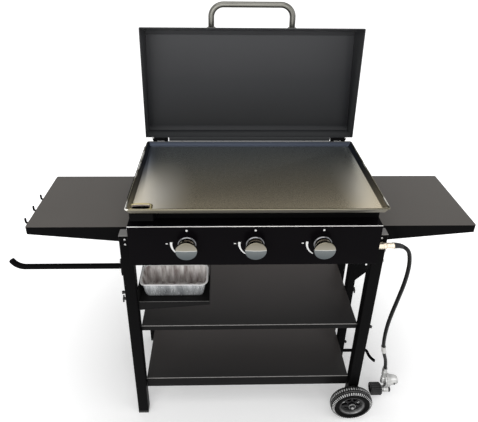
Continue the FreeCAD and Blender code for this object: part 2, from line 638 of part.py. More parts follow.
def hood_shell():
    """The hood, folded from sheet: a low back with an outward flange between the hinges, a top that rises to
    the front, a front and two side walls."""
    body = hang(new_body("hood_shell"))
    profile = new_sketch(body, "YZ_Plane")
    outline(profile, [("-" + rear_wall, "-hood_overlap"), ("-" + rear_wall, "hood_rear_height"),
                      ("-%s + hood_lean" % hood_length, "hood_front_height"),
                      ("-" + hood_length, "-hood_overlap")])
    pad(body, profile, "hood_width", middle=True)
    round_edges(body, "hood_corner", lambda edge: runs_along(edge, "x") and edge.CenterOfMass.z > 0)
    hollow = new_sketch(body, "YZ_Plane")
    back = "-%s - hood_sheet" % rear_wall

    def front(height):
        """Where the inner face of the leaning front wall is at a height."""
        return "-%s + hood_sheet * %s + %s * (hood_overlap + %s)" % (hood_length, front_length, front_slope, height)

    outline(hollow, [(back, "-2 * hood_overlap"), (back, "hood_rear_height - hood_corner"),
                     (back + " - hood_corner", "hood_rear_height - hood_sheet"),
                     (front("hood_front_height") + " + hood_corner", "hood_front_height - 1.6 * hood_sheet"),
                     (front("hood_front_height - hood_corner"), "hood_front_height - hood_corner"),
                     (front("-2 * hood_overlap"), "-2 * hood_overlap")])
    pocket(body, hollow, "hood_width - 2 * hood_sheet", middle=True)
    flange = new_sketch(body, "YZ_Plane")
    start = "-%s - hood_sheet / 2" % rear_wall
    end = "hood_flange - " + rear_wall
    outline(flange, [(start, "-hood_overlap"), (end, "-hood_overlap"), (end, "hood_sheet - hood_overlap"),
                     (start, "hood_sheet - hood_overlap")])
    pad(body, flange, "hood_width - 2 * hinge_inset - 4 * knuckle_length - 4 * sheet", middle=True)
    return body


# Turns a ring so that it starts below its centre, heads to the left and curls up.
upturned = FreeCAD.Rotation(FreeCAD.Vector(0, 0, -1), FreeCAD.Vector(-1, 0, 0), FreeCAD.Vector(0, 1, 0), "XYZ")


def level_turn(angle):
    return FreeCAD.Rotation(FreeCAD.Vector(0, 0, 1), angle)


def elbow(name, centre, bend, radius, turn, sweep="90"):
    """Part of a ring for a bent bar. It starts on its own +X side and turns about its own +Z."""
    item = doc.addObject("Part::Torus", name)
    item.setExpression("Radius1", bind(bend))
    item.setExpression("Radius2", bind(radius))
    item.setExpression("Angle3", bind(sweep))
    item.Placement = FreeCAD.Placement(FreeCAD.Vector(), turn)
    place(item, centre, shifted=False)
    return item


def hood_handle():
    """A bent tube that stands off the front wall of the hood, with a round foot on each leg."""
    half = "(handle_width / 2)"
    level = "handle_level + hood_overlap"
    seat = "(%s - %s * (%s - handle_foot_radius))" % (hood_length, front_slope, level)
    wall = "(%s - %s * (%s + handle_foot_radius) - hood_sheet * 0.3)" % (hood_length, front_slope, level)
    end = "(%s + handle_reach - handle_radius)" % hood_length
    straight = "%s - %s - handle_bend - handle_foot_depth" % (end, seat)
    face = "(%s + handle_foot_depth)" % seat
    pieces = []
    for side in (-1, 1):
        x = "%d * %s" % (side, half)
        pieces.append(cylinder("handle_leg", (x, "-" + face, "handle_level"), "handle_radius", straight, "-Y"))
        pieces.append(cylinder("handle_foot", (x, "-" + wall, "handle_level"), "handle_foot_radius",
                               "%s - %s" % (face, wall), "-Y"))
        pieces.append(elbow("handle_elbow", ("%d * (%s - handle_bend)" % (side, half), "-(%s - handle_bend)" % end,
                                             "handle_level"), "handle_bend", "handle_radius",
                            level_turn(-90 if side > 0 else 180)))
    pieces.append(cylinder("handle_grip", ("-(%s - handle_bend)" % half, "-" + end, "handle_level"),
                           "handle_radius", "handle_width - 2 * handle_bend", "X"))
    bar = join("hood_handle_bar", pieces)
    keeper = new_body("handle_trim", shifted=False, kept=False)
    behind = new_sketch(keeper, "YZ_Plane")
    outline(behind, [("-" + hood_length, "-hood_overlap"), ("-%s + hood_lean" % hood_length, "hood_front_height"),
                     ("-hinge_y / 2", "hood_front_height"), ("-hinge_y / 2", "-hood_overlap")])
    pad(keeper, behind, "handle_width + 4 * handle_foot_radius", middle=True)
    return keep(hang(cut("hood_handle_cut", bar, [keeper])), "hood_handle")


hinge_pieces = {"leaf": [], "bracket": [], "pin": []}


def hinge(label, side):
    """A hinge at a rear corner: a leaf on the hood, a bracket on the firebox and a headed pin."""
    middle = "%d * (hood_width / 2 - hinge_inset - knuckle_length)" % side
    low = "%s - knuckle_length / 2" % middle
    leaf = box(label + "_leaf_plate", (low, "-" + rear_wall, "0"), ("knuckle_length", "hinge_leaf", "leaf_height"))
    curl = cylinder(label + "_leaf_curl", (low, "0", "0"), "knuckle_radius", "knuckle_length", "X")
    bore = cylinder(label + "_leaf_bore", ("%s - sheet" % low, "0", "0"), "pin_radius + running_fit",
                    "knuckle_length + 2 * sheet", "X")
    moving = cut(label + "_leaf_cut", join(label + "_leaf_join", [leaf, curl]), [bore])
    hinge_pieces["leaf"].append(moving)
    outer = "(2 * knuckle_length + 2 * knuckle_gap)"
    start = "%s - %s / 2" % (middle, outer)
    wide = "(knuckle_length / 2)"
    pieces = [box(label + "_plate", (start, "firebox_rear", "hinge_height - bracket_drop"),
                  (outer, "hinge_leaf", "bracket_drop - knuckle_radius - hood_rim_gap"))]
    cutters = []
    for end in (0, 1):
        x = start if end == 0 else "%s + %s - %s" % (start, outer, wide)
        pieces.append(box("%s_ear_%d" % (label, end), (x, "firebox_rear", "hinge_height - 2 * knuckle_radius"),
                          (wide, "hinge_leaf", "2 * knuckle_radius")))
        pieces.append(cylinder("%s_curl_%d" % (label, end), (x, "hinge_y", "hinge_height"), "knuckle_radius",
                               wide, "X"))
        cutters.append(cylinder("%s_bore_%d" % (label, end), ("%s - sheet" % x, "hinge_y", "hinge_height"),
                                "pin_radius", "%s + 2 * sheet" % wide, "X"))
    hinge_pieces["bracket"].append(cut(label + "_fixed", join(label + "_bracket_join", pieces), cutters))
    pin = cylinder(label + "_pin_shank", (start, "hinge_y", "hinge_height"), "pin_radius", outer, "X")
    head_x = "%s + %s" % (start, outer) if side > 0 else "%s - sheet" % start
    head = cylinder(label + "_pin_head", (head_x, "hinge_y", "hinge_height"), "pin_radius + sheet", "sheet", "X")
    hinge_pieces["pin"].append(join(label + "_pin_join", [pin, head]))


def wheel(label, front):
    """A spoked plastic wheel with a rubber tyre, turning on a bolt through a leg."""
    face = "leg_front_y - hub_gap - hub_boss - wheel_width / 2"
    if not front:
        face = "leg_rear_y + leg_depth + hub_gap + hub_boss + wheel_width / 2"
    centre = ("leg_inner + leg_width / 2 - axle_inset", face, "wheel_radius")
    hub = new_body(label + "_rim", at=centre)
    rim = new_sketch(hub, "XZ_Plane")
    ring(rim, "0", "0", "rim_radius")
    ring(rim, "0", "0", "rim_radius - rim_wall")
    pad(hub, rim, "rim_width", middle=True)
    boss = new_sketch(hub, "XZ_Plane")
    ring(boss, "0", "0", "hub_radius")
    pad(hub, boss, "wheel_width", middle=True)
    inner = new_sketch(hub, "XZ_Plane")
    ring(inner, "0", "0", "hub_radius")
    pad(hub, inner, "wheel_width / 2 + hub_boss", back=front)
    spoke = new_sketch(hub, "XZ_Plane")
    rectangle(spoke, "-spoke_width / 2", "spoke_width / 2", "hub_radius - 2", "rim_radius - rim_wall / 2")
    arm = pad(hub, spoke, "spoke_depth", middle=True)
    spokes = hub.newObject("PartDesign::PolarPattern", "Spokes")
    spokes.Originals = [arm]
    spokes.Axis = (origin_axis(hub, "Y_Axis"), [""])
    spokes.Angle = 360
    spokes.setExpression("Occurrences", bind("spoke_count"))
    hub.Tip = spokes
    bore = new_sketch(hub, "XZ_Plane")
    ring(bore, "0", "0", "axle_radius + running_fit")
    pocket(hub, bore, "4 * wheel_width", middle=True)
    tyre = new_body(label + "_tyre", at=centre)
    section = new_sketch(tyre, "YZ_Plane")
    half = "wheel_width / 2"
    outline(section, [("-rim_width / 2", "rim_radius"), ("rim_width / 2", "rim_radius"),
                      (half, "rim_radius + tyre_shoulder"), (half, "wheel_radius - tyre_shoulder"),
                      (half + " - tyre_shoulder", "wheel_radius"), ("-(%s - tyre_shoulder)" % half, "wheel_radius"),
                      ("-%s" % half, "wheel_radius - tyre_shoulder"), ("-%s" % half, "rim_radius + tyre_shoulder")])
    turned(tyre, section, "H_Axis")
    groove = new_sketch(tyre, "XZ_Plane", "wheel_width / 2")
    rectangle(groove, "-tread_width / 2", "tread_width / 2", "wheel_radius - tread_depth", "wheel_radius + 1")
    notch = pocket(tyre, groove, "tyre_shoulder * 1.5")
    tread = tyre.newObject("PartDesign::PolarPattern", "Tread")
    tread.Originals = [notch]
    tread.Axis = (origin_axis(tyre, "Y_Axis"), [""])
    tread.Angle = 360
    tread.setExpression("Occurrences", bind("tread_count"))
    tyre.Tip = tread
    away = "-Y" if front else "Y"
    start = "leg_front_y + leg_depth" if front else "leg_rear_y"
    length = "leg_depth + hub_gap + hub_boss + wheel_width + hub_gap"
    shank = cylinder(label + "_shank", (centre[0], start, centre[2]), "axle_radius", length, away)
    sign = -1 if front else 1
    head_y = "%s + %d * (%s)" % (start, sign, length)
    head = cylinder(label + "_head", (centre[0], head_y, centre[2]), "axle_head_radius", "axle_head_height", away)
    nut = cylinder(label + "_nut", (centre[0], start, centre[2]), "axle_head_radius", "axle_head_height",
                   "Y" if front else "-Y")
    return finish(join(label + "_axle_join", [shank, head, nut]), label + "_axle")


def grease_tray():
    """A small shelf bolted to the left front leg, with an upright at each end and a skirt that tapers."""
    left = "-leg_inner"
    right = "-leg_inner + tray_length"
    plate = box("tray_plate", (left, "tray_front", "tray_height - sheet"), ("tray_length", "tray_depth", "sheet"))
    wall = box("tray_wall", (left, "tray_front", "tray_height - sheet"), ("sheet", "tray_depth", "tray_side + sheet"))
    end = box("tray_end", (right + " - sheet", "tray_front", "tray_height - sheet"),
              ("sheet", "tray_depth", "tray_side + sheet"))
    skirt = new_body("tray_skirt", shifted=False, kept=False)
    face = new_sketch(skirt, "XZ_Plane", "-tray_front - tray_depth")
    outline(face, [(left, "tray_height"), (left, "tray_height - tray_skirt_inner"),
                   (right, "tray_height - tray_skirt_outer"), (right, "tray_height")])
    pad(skirt, face, "tray_depth")
    between = new_sketch(skirt, "XZ_Plane", "-tray_front - tray_depth + sheet")
    rectangle(between, left + " - sheet", right + " + sheet", "tray_height - 2 * tray_skirt_inner",
              "tray_height + sheet")
    pocket(skirt, between, "tray_depth - 2 * sheet", back=True)
    return finish(join("grease_tray_join", [plate, wall, end, skirt]), "grease_tray")


def grease_pan():
    """A foil loaf pan with drawn-in corners and a narrow rim, standing on the tray."""
    body = new_body("grease_pan", at=("-leg_inner + pan_side_gap + pan_length / 2",
                                      "tray_front + pan_front_gap + pan_width / 2", "tray_height"))

    def section(level, inset, corner):
        """An oblong with cut corners."""
        sketch = new_sketch(body, "XY_Plane", level)
        across = "(pan_length / 2 - (%s))" % inset
        along = "(pan_width / 2 - (%s))" % inset
        quarter = [(across, "(%s - %s)" % (along, corner)), ("(%s - %s)" % (across, corner), along)]
        points = quarter + [("-" + x, y) for x, y in reversed(quarter)]
        points += [("-" + x, "-" + y) for x, y in quarter] + [(x, "-" + y) for x, y in reversed(quarter)]
        return outline(sketch, points)

    loft(body, [section("0", "pan_taper", "pan_corner * 0.6"), section("pan_height", "pan_rim", "pan_corner * 0.8")])
    pad(body, section("pan_height - pan_foil", "0", "pan_corner"), "pan_foil")
    loft(body, [section("pan_foil", "pan_taper + pan_foil", "pan_corner * 0.6"),
                section("pan_height + pan_foil", "pan_rim + pan_foil", "pan_corner * 0.8")], hollow=True)
    return body


def towel_bar():
    """A round bar welded to a plate on the left front leg, turned up at its tip."""
    start = "-%s - bar_plate" % leg_outer
    y = "leg_front_y + leg_depth / 2"
    plate = box("bar_plate_box", (start, "%s - bar_plate_width / 2" % y, "bar_height - bar_plate_height / 2"),
                ("bar_plate", "bar_plate_width", "bar_plate_height"))
    straight = "(bar_length - bar_plate - (bar_bend + bar_radius) * sin(bar_turn * 1 deg))"
    bar = cylinder("bar_straight", (start, y, "bar_height"), "bar_radius", straight, "-X")
    tip = elbow("bar_tip", ("%s - %s" % (start, straight), y, "bar_height + bar_bend"), "bar_bend", "bar_radius",
                upturned, "bar_turn")
    return finish(join("towel_bar_join", [plate, bar, tip]), "towel_bar")


def tool_hooks():
    """Three bent pegs on the outer skirt of the left shelf."""
    hooks = []
    for i in range(3):
        y = "hook_first + %d * hook_pitch" % i
        z = "side_shelf_height - hook_drop"
        stem = cylinder("hook_stem_%d" % i, ("-side_shelf_reach", y, z), "hook_radius", "hook_reach - hook_bend", "-X")
        turn = elbow("hook_turn_%d" % i, ("-side_shelf_reach - hook_reach + hook_bend", y, z + " + hook_bend"),
                     "hook_bend", "hook_radius", upturned)
        peg = cylinder("hook_peg_%d" % i, ("-side_shelf_reach - hook_reach", y, z + " + hook_bend"), "hook_radius",
                       "hook_rise", "Z")
        hooks.append(join("hook_%d" % i, [stem, turn, peg]))
    return finish(group("tool_hooks_group", hooks), "tool_hooks")


def tank_hanger():
    """A post under the right rail with a slotted plate for a gas bottle's collar, and a stay bar at its foot that curves round the bottle."""
    x = "leg_inner"
    post = box("hanger_post", (x, "hanger_y", "hanger_foot"),
               ("hanger_width", "leg_depth", "leg_top - 2 * sheet - hanger_foot"))
    bore = box("hanger_bore", (x + " + leg_wall", "hanger_y + leg_wall", "hanger_foot - 1"),
               ("hanger_width - 2 * leg_wall", "leg_depth - 2 * leg_wall", "leg_top"))
    plate = new_body("hanger_gusset", shifted=False, kept=False)
    face = new_sketch(plate, "XZ_Plane", "-hanger_y - leg_depth / 2 - hanger_plate / 2")
    tip = "%s + hanger_reach" % leg_outer
    outline(face, [(hanger_face, "gusset_bottom"), (tip, "gusset_bottom + gusset_rise"), (tip, "gusset_top"),
                   (tip + " - hanger_slot", "gusset_top"), (tip + " - hanger_slot", "gusset_top - hanger_slot"),
                   (tip + " - 2 * hanger_slot", "gusset_top - hanger_slot"),
                   (tip + " - 2 * hanger_slot", "gusset_top"), (hanger_face, "gusset_top")])
    pad(plate, face, "hanger_plate")
    finish(join("tank_hanger_join", [cut("hanger_tube", post, [bore]), plate]), "tank_hanger")
    y = "hanger_y + leg_depth / 2"
    run = cylinder("stay_straight", (hanger_face, y, "stay_height"), "stay_radius", "stay_run", "X")
    end = "%s + stay_run" % hanger_face
    turn = elbow("stay_elbow", (end, y + " - stay_corner", "stay_height"), "stay_corner", "stay_radius",
                 level_turn(0))
    cradle = elbow("stay_cradle", (end + " + stay_corner + stay_bend", y + " - stay_corner", "stay_height"),
                   "stay_bend", "stay_radius", level_turn(180), "stay_turn")
    return finish(join("tank_stay_join", [run, turn, cradle]), "tank_stay_bar")


def heads(label, places, radius, height, direction):
    """A group of identical round heads."""
    items = [cylinder("%s_%d" % (label, i), at, radius, height, direction) for i, at in enumerate(places)]
    return items


def fasteners():
    """Bolt heads on the legs, zinc screws on the front legs and thumb screws with two wings."""
    bolts = []
    screws = []
    for side in (-1, 1):
        x = "%d * %s" % (side, leg_outer)
        direction = "-X" if side < 0 else "X"
        mid = "leg_front_y + leg_depth / 2"
        height = "bolt_height"
        if side < 0:
            reach = "(bar_plate_height / 2 - bolt_radius - bolt_margin)"
            levels = ["bar_height + " + reach, "bar_height - " + reach]
            x += " - bar_plate"
        else:
            levels = ["firebox_bottom + 4 * bolt_margin", "firebox_bottom - 6 * bolt_margin"]
            mid = "leg_front_y + bolt_radius + sheet / 2"
            height = "1.5 * bolt_height"
        bolts += heads("bolt_%d" % side, [(x, mid, z) for z in levels], "bolt_radius", height, direction)
        inside = "%d * (leg_inner + leg_width + 2 * sheet)" % side
        level = "side_shelf_height - 2 * sheet - bracket_height / 2"
        ends = ("side_shelf_front + sheet + bracket_width / 2", "side_shelf_rear - sheet - bracket_width / 2")
        bolts += heads("shelf_bolt_%d" % side, [(inside, y, level) for y in ends], "bolt_radius", "bolt_height",
                       direction)
        middle = "%d * (leg_inner + leg_width / 2)" % side
        screws += heads("screw_%d" % side, [(middle, "leg_front_y", "leg_top - %d * screw_radius" % n)
                                            for n in (4, 9)], "screw_radius", "screw_height", "-Y")
    finish(group("leg_bolts_group", bolts), "leg_bolts")
    finish(group("front_screws_group", screws), "front_screws")
    front = "leg_front_y + leg_depth / 2"
    post = "hanger_y + leg_depth / 2"
    middle = "middle_shelf_height - middle_lip / 2"
    bottom = "bottom_shelf_height - bottom_lip / 2"
    left = [(-1, front, "tray_height + tray_side - 12"), (-1, front, "tray_height + 12")]
    right = [(1, front, middle), (1, post, middle), (1, post, bottom)]
    for label, places in (("tray_thumb_screws", left), ("shelf_thumb_screws", right)):
        made = []
        for i, (side, y, z) in enumerate(places):
            x = hanger_face if y == post else "%d * %s" % (side, leg_outer)
            direction = "-X" if side < 0 else "X"
            neck = cylinder("%s_neck_%d" % (label, i), (x, y, z), "thumb_radius * 0.6", "thumb_length", direction)
            low = x if side > 0 else "%s - thumb_length" % x
            wings = box("%s_wings_%d" % (label, i), (low, "%s - wing_thickness / 2" % y, "%s - wing_reach" % z),
                        ("thumb_length", "wing_thickness", "2 * wing_reach"))
            slot = box("%s_slot_%d" % (label, i), (x if side > 0 else "%s - thumb_length / 2" % x,
                       "%s - wing_thickness" % y, "%s - 2 * wing_reach" % z),
                       ("thumb_length / 2", "2 * wing_thickness", "4 * wing_reach"))
            made.append(join("%s_%d" % (label, i), [neck, cut("%s_trim_%d" % (label, i), wings, [slot])]))
        finish(group(label + "_group", made), label)


# Gas hose: the points of its centre line, from the inlet's ferrule to the regulator's ferrule, in the
# cart's frame. The hose hangs clear of the wheel, its runs are joined by tangent arcs, and the coupling at
# its foot faces the free space behind the front legs.
hose_points = [(401.3, 66, 768), (419, 66, 768), (436.3, 66.5, 763), (452.2, 67, 752.7), (465.1, 68.5, 737.4),
               (474.1, 70.5, 717.3), (477.5, 74, 677), (473, 81, 605), (464.5, 90.5, 520), (458.5, 101, 432),
               (458, 108, 362), (463.5, 115.5, 292), (477, 121.5, 235), (495, 128, 188), (495, 128, 152)]


def hose_path(points):
    """Straight runs joined by tangent arcs, each arc as large as its two runs allow."""
    points = [FreeCAD.Vector(*point) for point in points]
    edges = []
    radii = []
    start = points[0]
    for before, corner, after in zip(points, points[1:], points[2:]):
        incoming = (corner - before).normalize()
        outgoing = (after - corner).normalize()
        shorter = min((corner - before).Length, (after - corner).Length)
        half_turn = incoming.getAngle(outgoing) / 2
        reach = 0.45 * shorter
        radii.append(reach / math.tan(half_turn))
        enter = corner - incoming * reach
        leave = corner + outgoing * reach
        inward = (outgoing - incoming).normalize()
        middle = corner + inward * (radii[-1] / math.cos(half_turn) - radii[-1])
        edges.append(Part.LineSegment(start, enter).toShape())
        edges.append(Part.Arc(enter, middle, leave).toShape())
        start = leave
    edges.append(Part.LineSegment(start, points[-1]).toShape())
    print("hose bend radii", [round(radius) for radius in radii])
    return Part.Wire(edges)


def hose():
    """The free hose, its two ferrules, its plain sleeve, the regulator and the coupling nut."""
    radius = value("hose_radius")
    path = hose_path(hose_points)
    start = FreeCAD.Vector(*hose_points[0])
    section = Part.Wire(Part.Circle(start, FreeCAD.Vector(*hose_points[1]) - start, radius).toShape())
    tube = path.makePipeShell([section], True, False, 2)
    print("hose length %.1f volume ratio %.4f" % (path.Length, tube.Volume / (math.pi * radius ** 2 * path.Length)))
    item = doc.addObject("Part::Feature", "gas_hose")
    item.Shape = tube
    finish(item, "gas_hose")
    x, y, z = [str(number) for number in hose_points[-1]]
    upper = cylinder("ferrule_top", ("leg_inner + inlet_length", "pipe_y", "knob_height - pipe_drop"),
                     "ferrule_radius", "ferrule_length", "X")
    low_end = "%s - end_gap - lower_ferrule" % z
    lower = cylinder("ferrule_low", (x, y, low_end), "ferrule_radius", "lower_ferrule", "Z")
    finish(group("hose_ferrules_group", [upper, lower]), "hose_ferrules")
    middle_z = "(%s - regulator_drop)" % low_end
    chamber_z = "(%s - chamber_drop)" % middle_z
    case_x = "%s + regulator_stem / 2" % x
    boss = cylinder("regulator_boss", (x, y, middle_z), "regulator_stem", "regulator_drop", "Z")
    case = cylinder("regulator_case", (case_x, y, middle_z), "regulator_radius", "regulator_depth", "X")
    band = cylinder("regulator_band", (case_x + " + regulator_depth * 0.35", y, middle_z), "regulator_radius + 2",
                    "regulator_depth * 0.3", "X")
    dome = doc.addObject("Part::Cone", "regulator_cover")
    dome.setExpression("Radius1", bind("regulator_radius * 0.85"))
    dome.setExpression("Radius2", bind("regulator_radius * 0.6"))
    dome.setExpression("Height", bind("regulator_dome"))
    dome.Placement.Rotation = FreeCAD.Rotation(FreeCAD.Vector(0, 1, 0), 90)
    place(dome, (case_x + " + regulator_depth", y, middle_z), shifted=False)
    neck = cylinder("regulator_neck", (case_x + " + regulator_depth / 2", y, chamber_z), "regulator_stem * 0.8",
                    "chamber_drop", "Z")
    chamber_x = "%s + regulator_stem - 1" % x
    chamber = cylinder("regulator_chamber", (chamber_x, y, chamber_z), "chamber_radius", "chamber_length", "X")
    inlet_x = "%s - regulator_stem / 2" % x
    inlet = cylinder("regulator_inlet", (inlet_x, y, chamber_z), "regulator_stem", "2 * regulator_stem", "X")
    finish(join("regulator_join", [boss, case, band, dome, neck, chamber, inlet]), "regulator")
    nut = new_body("coupling_nut", at=(inlet_x, y, chamber_z))
    profile = new_sketch(nut, "XZ_Plane")
    outline(profile, [("regulator_stem * 0.75", "regulator_stem + running_fit"),
                      ("regulator_stem * 0.75", "coupling_radius * 0.7"), ("0", "coupling_radius"),
                      ("-coupling_length + 3", "coupling_radius"), ("-coupling_length", "coupling_radius - 3"),
                      ("-coupling_length", "coupling_radius * 0.65"), ("-knob_gap", "coupling_radius * 0.65"),
                      ("-knob_gap", "regulator_stem + running_fit")])
    turned(nut, profile, "H_Axis")
    upper, lower = [FreeCAD.Vector(*hose_points[i]) for i in (11, 12)]
    along = (lower - upper).normalize()
    sleeve = doc.addObject("Part::Feature", "hose_sleeve")
    outer = radius + value("sleeve_gap") + value("sleeve_wall")
    foot = (upper + lower) / 2 - along * value("sleeve_length") / 2
    tube = Part.makeCylinder(outer, value("sleeve_length"), foot, along)
    sleeve.Shape = tube.cut(Part.makeCylinder(radius + value("sleeve_gap"), value("sleeve_length"), foot, along))
    return finish(sleeve, "hose_sleeve")


for maker in (griddle_plate, griddle_feet, firebox, control_panel, leg_caps):
    maker()
leg("leg_front_left", -1, True)
leg("leg_rear_left", -1, False)
leg("leg_front_right", 1, True)
leg("leg_rear_right", 1, False)
mirrored_pair(side_rail, "side_rail")
low_shelf("shelf_middle", "middle_shelf_height", "middle_lip")
low_shelf("shelf_bottom", "bottom_shelf_height", "bottom_lip")
mirrored_pair(side_shelf, "side_shelf")
mirrored_pair(shelf_bracket, "shelf_bracket")

for name, step in (("left", -1), ("center", 0), ("right", 1)):
    burner("burner_" + name, step)
    valve("valve_" + name, step)
    knob("knob_" + name, step)
for maker in (grease_chute, burner_rail, gas_pipe, gas_inlet, bezels, hood_shell, hood_handle):
    maker()
mirrored_pair(hinge, "hinge")
keep(hang(group("hinge_leaves_group", hinge_pieces["leaf"])), "hinge_leaves")
finish(group("hinge_brackets_group", hinge_pieces["bracket"]), "hinge_brackets")
finish(group("hinge_pins_group", hinge_pieces["pin"]), "hinge_pins")
wheel("wheel_front", True)
wheel("wheel_rear", False)
for maker in (grease_tray, grease_pan, towel_bar, tool_hooks, tank_hanger, fasteners, hose):
    maker()

doc.recompute()


def check_and_export():
    """Stop on a failed object or an unsound shape, then write one file for each sub-part."""
    for item in doc.Objects:
        if "Invalid" in item.State or "Error" in item.State:
            raise RuntimeError("failed: %s %s %s" % (item.Label, item.Name, item.State))
    os.makedirs("parts", exist_ok=True)
    for item in subparts:
        shape = item.Shape
        if shape.isNull() or not shape.isValid():
            raise RuntimeError("unsound shape: " + item.Label)
        shape.exportStep("parts/%s.step" % item.Label)
        low, high = shape.BoundBox, shape.Volume
        print("%-22s solids %d volume %.0f  x %.1f %.1f y %.1f %.1f z %.1f %.1f" % (
            item.Label, len(shape.Solids), high, low.XMin, low.XMax, low.YMin, low.YMax, low.ZMin, low.ZMax))


check_and_export()
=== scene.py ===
import json
import math

import bmesh
import bpy
import numpy as np
from mathutils import Matrix, Vector


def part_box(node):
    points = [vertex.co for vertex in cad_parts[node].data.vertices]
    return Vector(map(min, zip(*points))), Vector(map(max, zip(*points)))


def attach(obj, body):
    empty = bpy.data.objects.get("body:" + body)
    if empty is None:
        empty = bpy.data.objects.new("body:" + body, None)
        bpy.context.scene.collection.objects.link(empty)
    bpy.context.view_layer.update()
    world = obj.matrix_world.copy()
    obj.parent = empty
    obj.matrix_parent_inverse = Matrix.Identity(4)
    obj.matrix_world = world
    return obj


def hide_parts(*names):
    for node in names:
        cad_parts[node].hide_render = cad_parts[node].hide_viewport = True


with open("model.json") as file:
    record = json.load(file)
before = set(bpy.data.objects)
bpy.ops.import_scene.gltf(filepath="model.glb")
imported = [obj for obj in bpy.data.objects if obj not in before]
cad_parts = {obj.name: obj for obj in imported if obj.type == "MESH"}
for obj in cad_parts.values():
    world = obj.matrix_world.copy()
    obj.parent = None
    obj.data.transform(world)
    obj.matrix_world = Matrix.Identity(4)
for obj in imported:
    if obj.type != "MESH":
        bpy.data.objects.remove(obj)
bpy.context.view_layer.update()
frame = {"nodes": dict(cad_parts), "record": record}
nodes = frame["nodes"]
record = frame["record"]
bodyOfNode = {name: body for body, names in record["behaviour"]["bodies"].items() for name in names}

# The cart's own measures start at its middle plane, its front rim and the floor, in millimetres.
# This shift takes them to the frame of the model.
cart = {"shift": (26.5, -239.352, 0.0)}


def fromCart(points):
    # cart millimetres to model metres, for one point or an array of them
    return (np.asarray(points, dtype=float) + np.array(cart["shift"])) / 1000.0


def newItem(name, data):
    item = bpy.data.objects.new(name, data)
    bpy.context.scene.collection.objects.link(item)
    return item


# Camera.
view = {"place": (-95.6, -863.26, 1619.12), "pitch": 22.94, "yaw": 1.48, "roll": 0.72,
        "focal": 417.95, "principal": (231.07, 98.17), "image": (478, 422),
        "sensor": 36.0, "nearest": 0.05}


def aimCamera():
    # right, up and forward come from the pitch, the yaw and the roll; the principal point becomes a lens
    # shift
    p, y, r = (math.radians(view[key]) for key in ("pitch", "yaw", "roll"))
    forward = Vector((math.sin(y) * math.cos(p), math.cos(y) * math.cos(p), -math.sin(p)))
    level = Vector((math.cos(y), -math.sin(y), 0.0))
    above = level.cross(forward)
    right = level * math.cos(r) + above * math.sin(r)
    up = above * math.cos(r) - level * math.sin(r)
    lens = bpy.data.cameras.new("photoCamera")
    lens.sensor_fit = "HORIZONTAL"
    lens.sensor_width = view["sensor"]
    wide, high = view["image"]
    lens.lens = view["focal"] * lens.sensor_width / wide
    lens.shift_x = (wide / 2 - view["principal"][0]) / wide
    lens.shift_y = (view["principal"][1] - high / 2) / wide
    lens.clip_start = view["nearest"]
    camera = newItem("photoCamera", lens)
    turn = Matrix((right, up, -forward)).transposed().to_4x4()
    camera.matrix_world = Matrix.Translation(Vector(fromCart(view["place"]))) @ turn
    bpy.context.scene.camera = camera


aimCamera()
print("camera placed")

# Gas hose: it comes first, because its solid follows the same points.
# The route is the solid's own, its upper bend drawn in a little towards the cart as in the photograph.
gasHose = {"points": [(401.3, 66, 768), (411, 66, 768), (421, 66.2, 766.2), (431.5, 66.5, 761.5),
                      (441.5, 67, 753.8),
                      (449.5, 68, 743), (454.5, 69, 729.5), (460, 71, 706), (464.5, 74, 671), (466, 81, 605),
                      (461, 90.5, 520), (456, 101, 432), (456, 108, 362), (462, 115.5, 292),
                      (475, 121.5, 235),
                      (491.5, 127.5, 189), (495, 128, 152)],
           "radius": 6.0, "length": 0.6699, "reliefLength": 26.0, "reliefRadius": 8.6}


def splineThrough(name, points, radius=0.0):
    # an open NURBS spline with the route's points as its control points
    data = bpy.data.curves.new(name, "CURVE")
    data.dimensions = "3D"
    spline = data.splines.new("NURBS")
    spline.points.add(len(points) - 1)
    for point, place in zip(spline.points, fromCart(points)):
        point.co = (*place, 1.0)
        point.radius = radius / 1000.0
    spline.order_u = 3
    spline.use_endpoint_u = True
    spline.resolution_u = 16
    if radius:
        data.bevel_depth = 1.0
        data.bevel_resolution = 8
        data.use_fill_caps = True
    return newItem(name, data)


def routeOf(points):
    # the places that the NURBS spline itself passes, in cart millimetres, read from a spline with no bevel
    guide = splineThrough("hoseGuide", points)
    line = bpy.data.meshes.new_from_object(guide)
    places = np.empty(len(line.vertices) * 3)
    line.vertices.foreach_get("co", places)
    bpy.data.meshes.remove(line)
    bpy.data.curves.remove(guide.data)
    return places.reshape(-1, 3) * 1000.0 - np.array(cart["shift"])


hose = splineThrough("gasHoseRun", gasHose["points"], gasHose["radius"])
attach(hose, "cart")
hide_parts("gas_hose")
hoseRoute = routeOf(gasHose["points"])
print("hose laid")

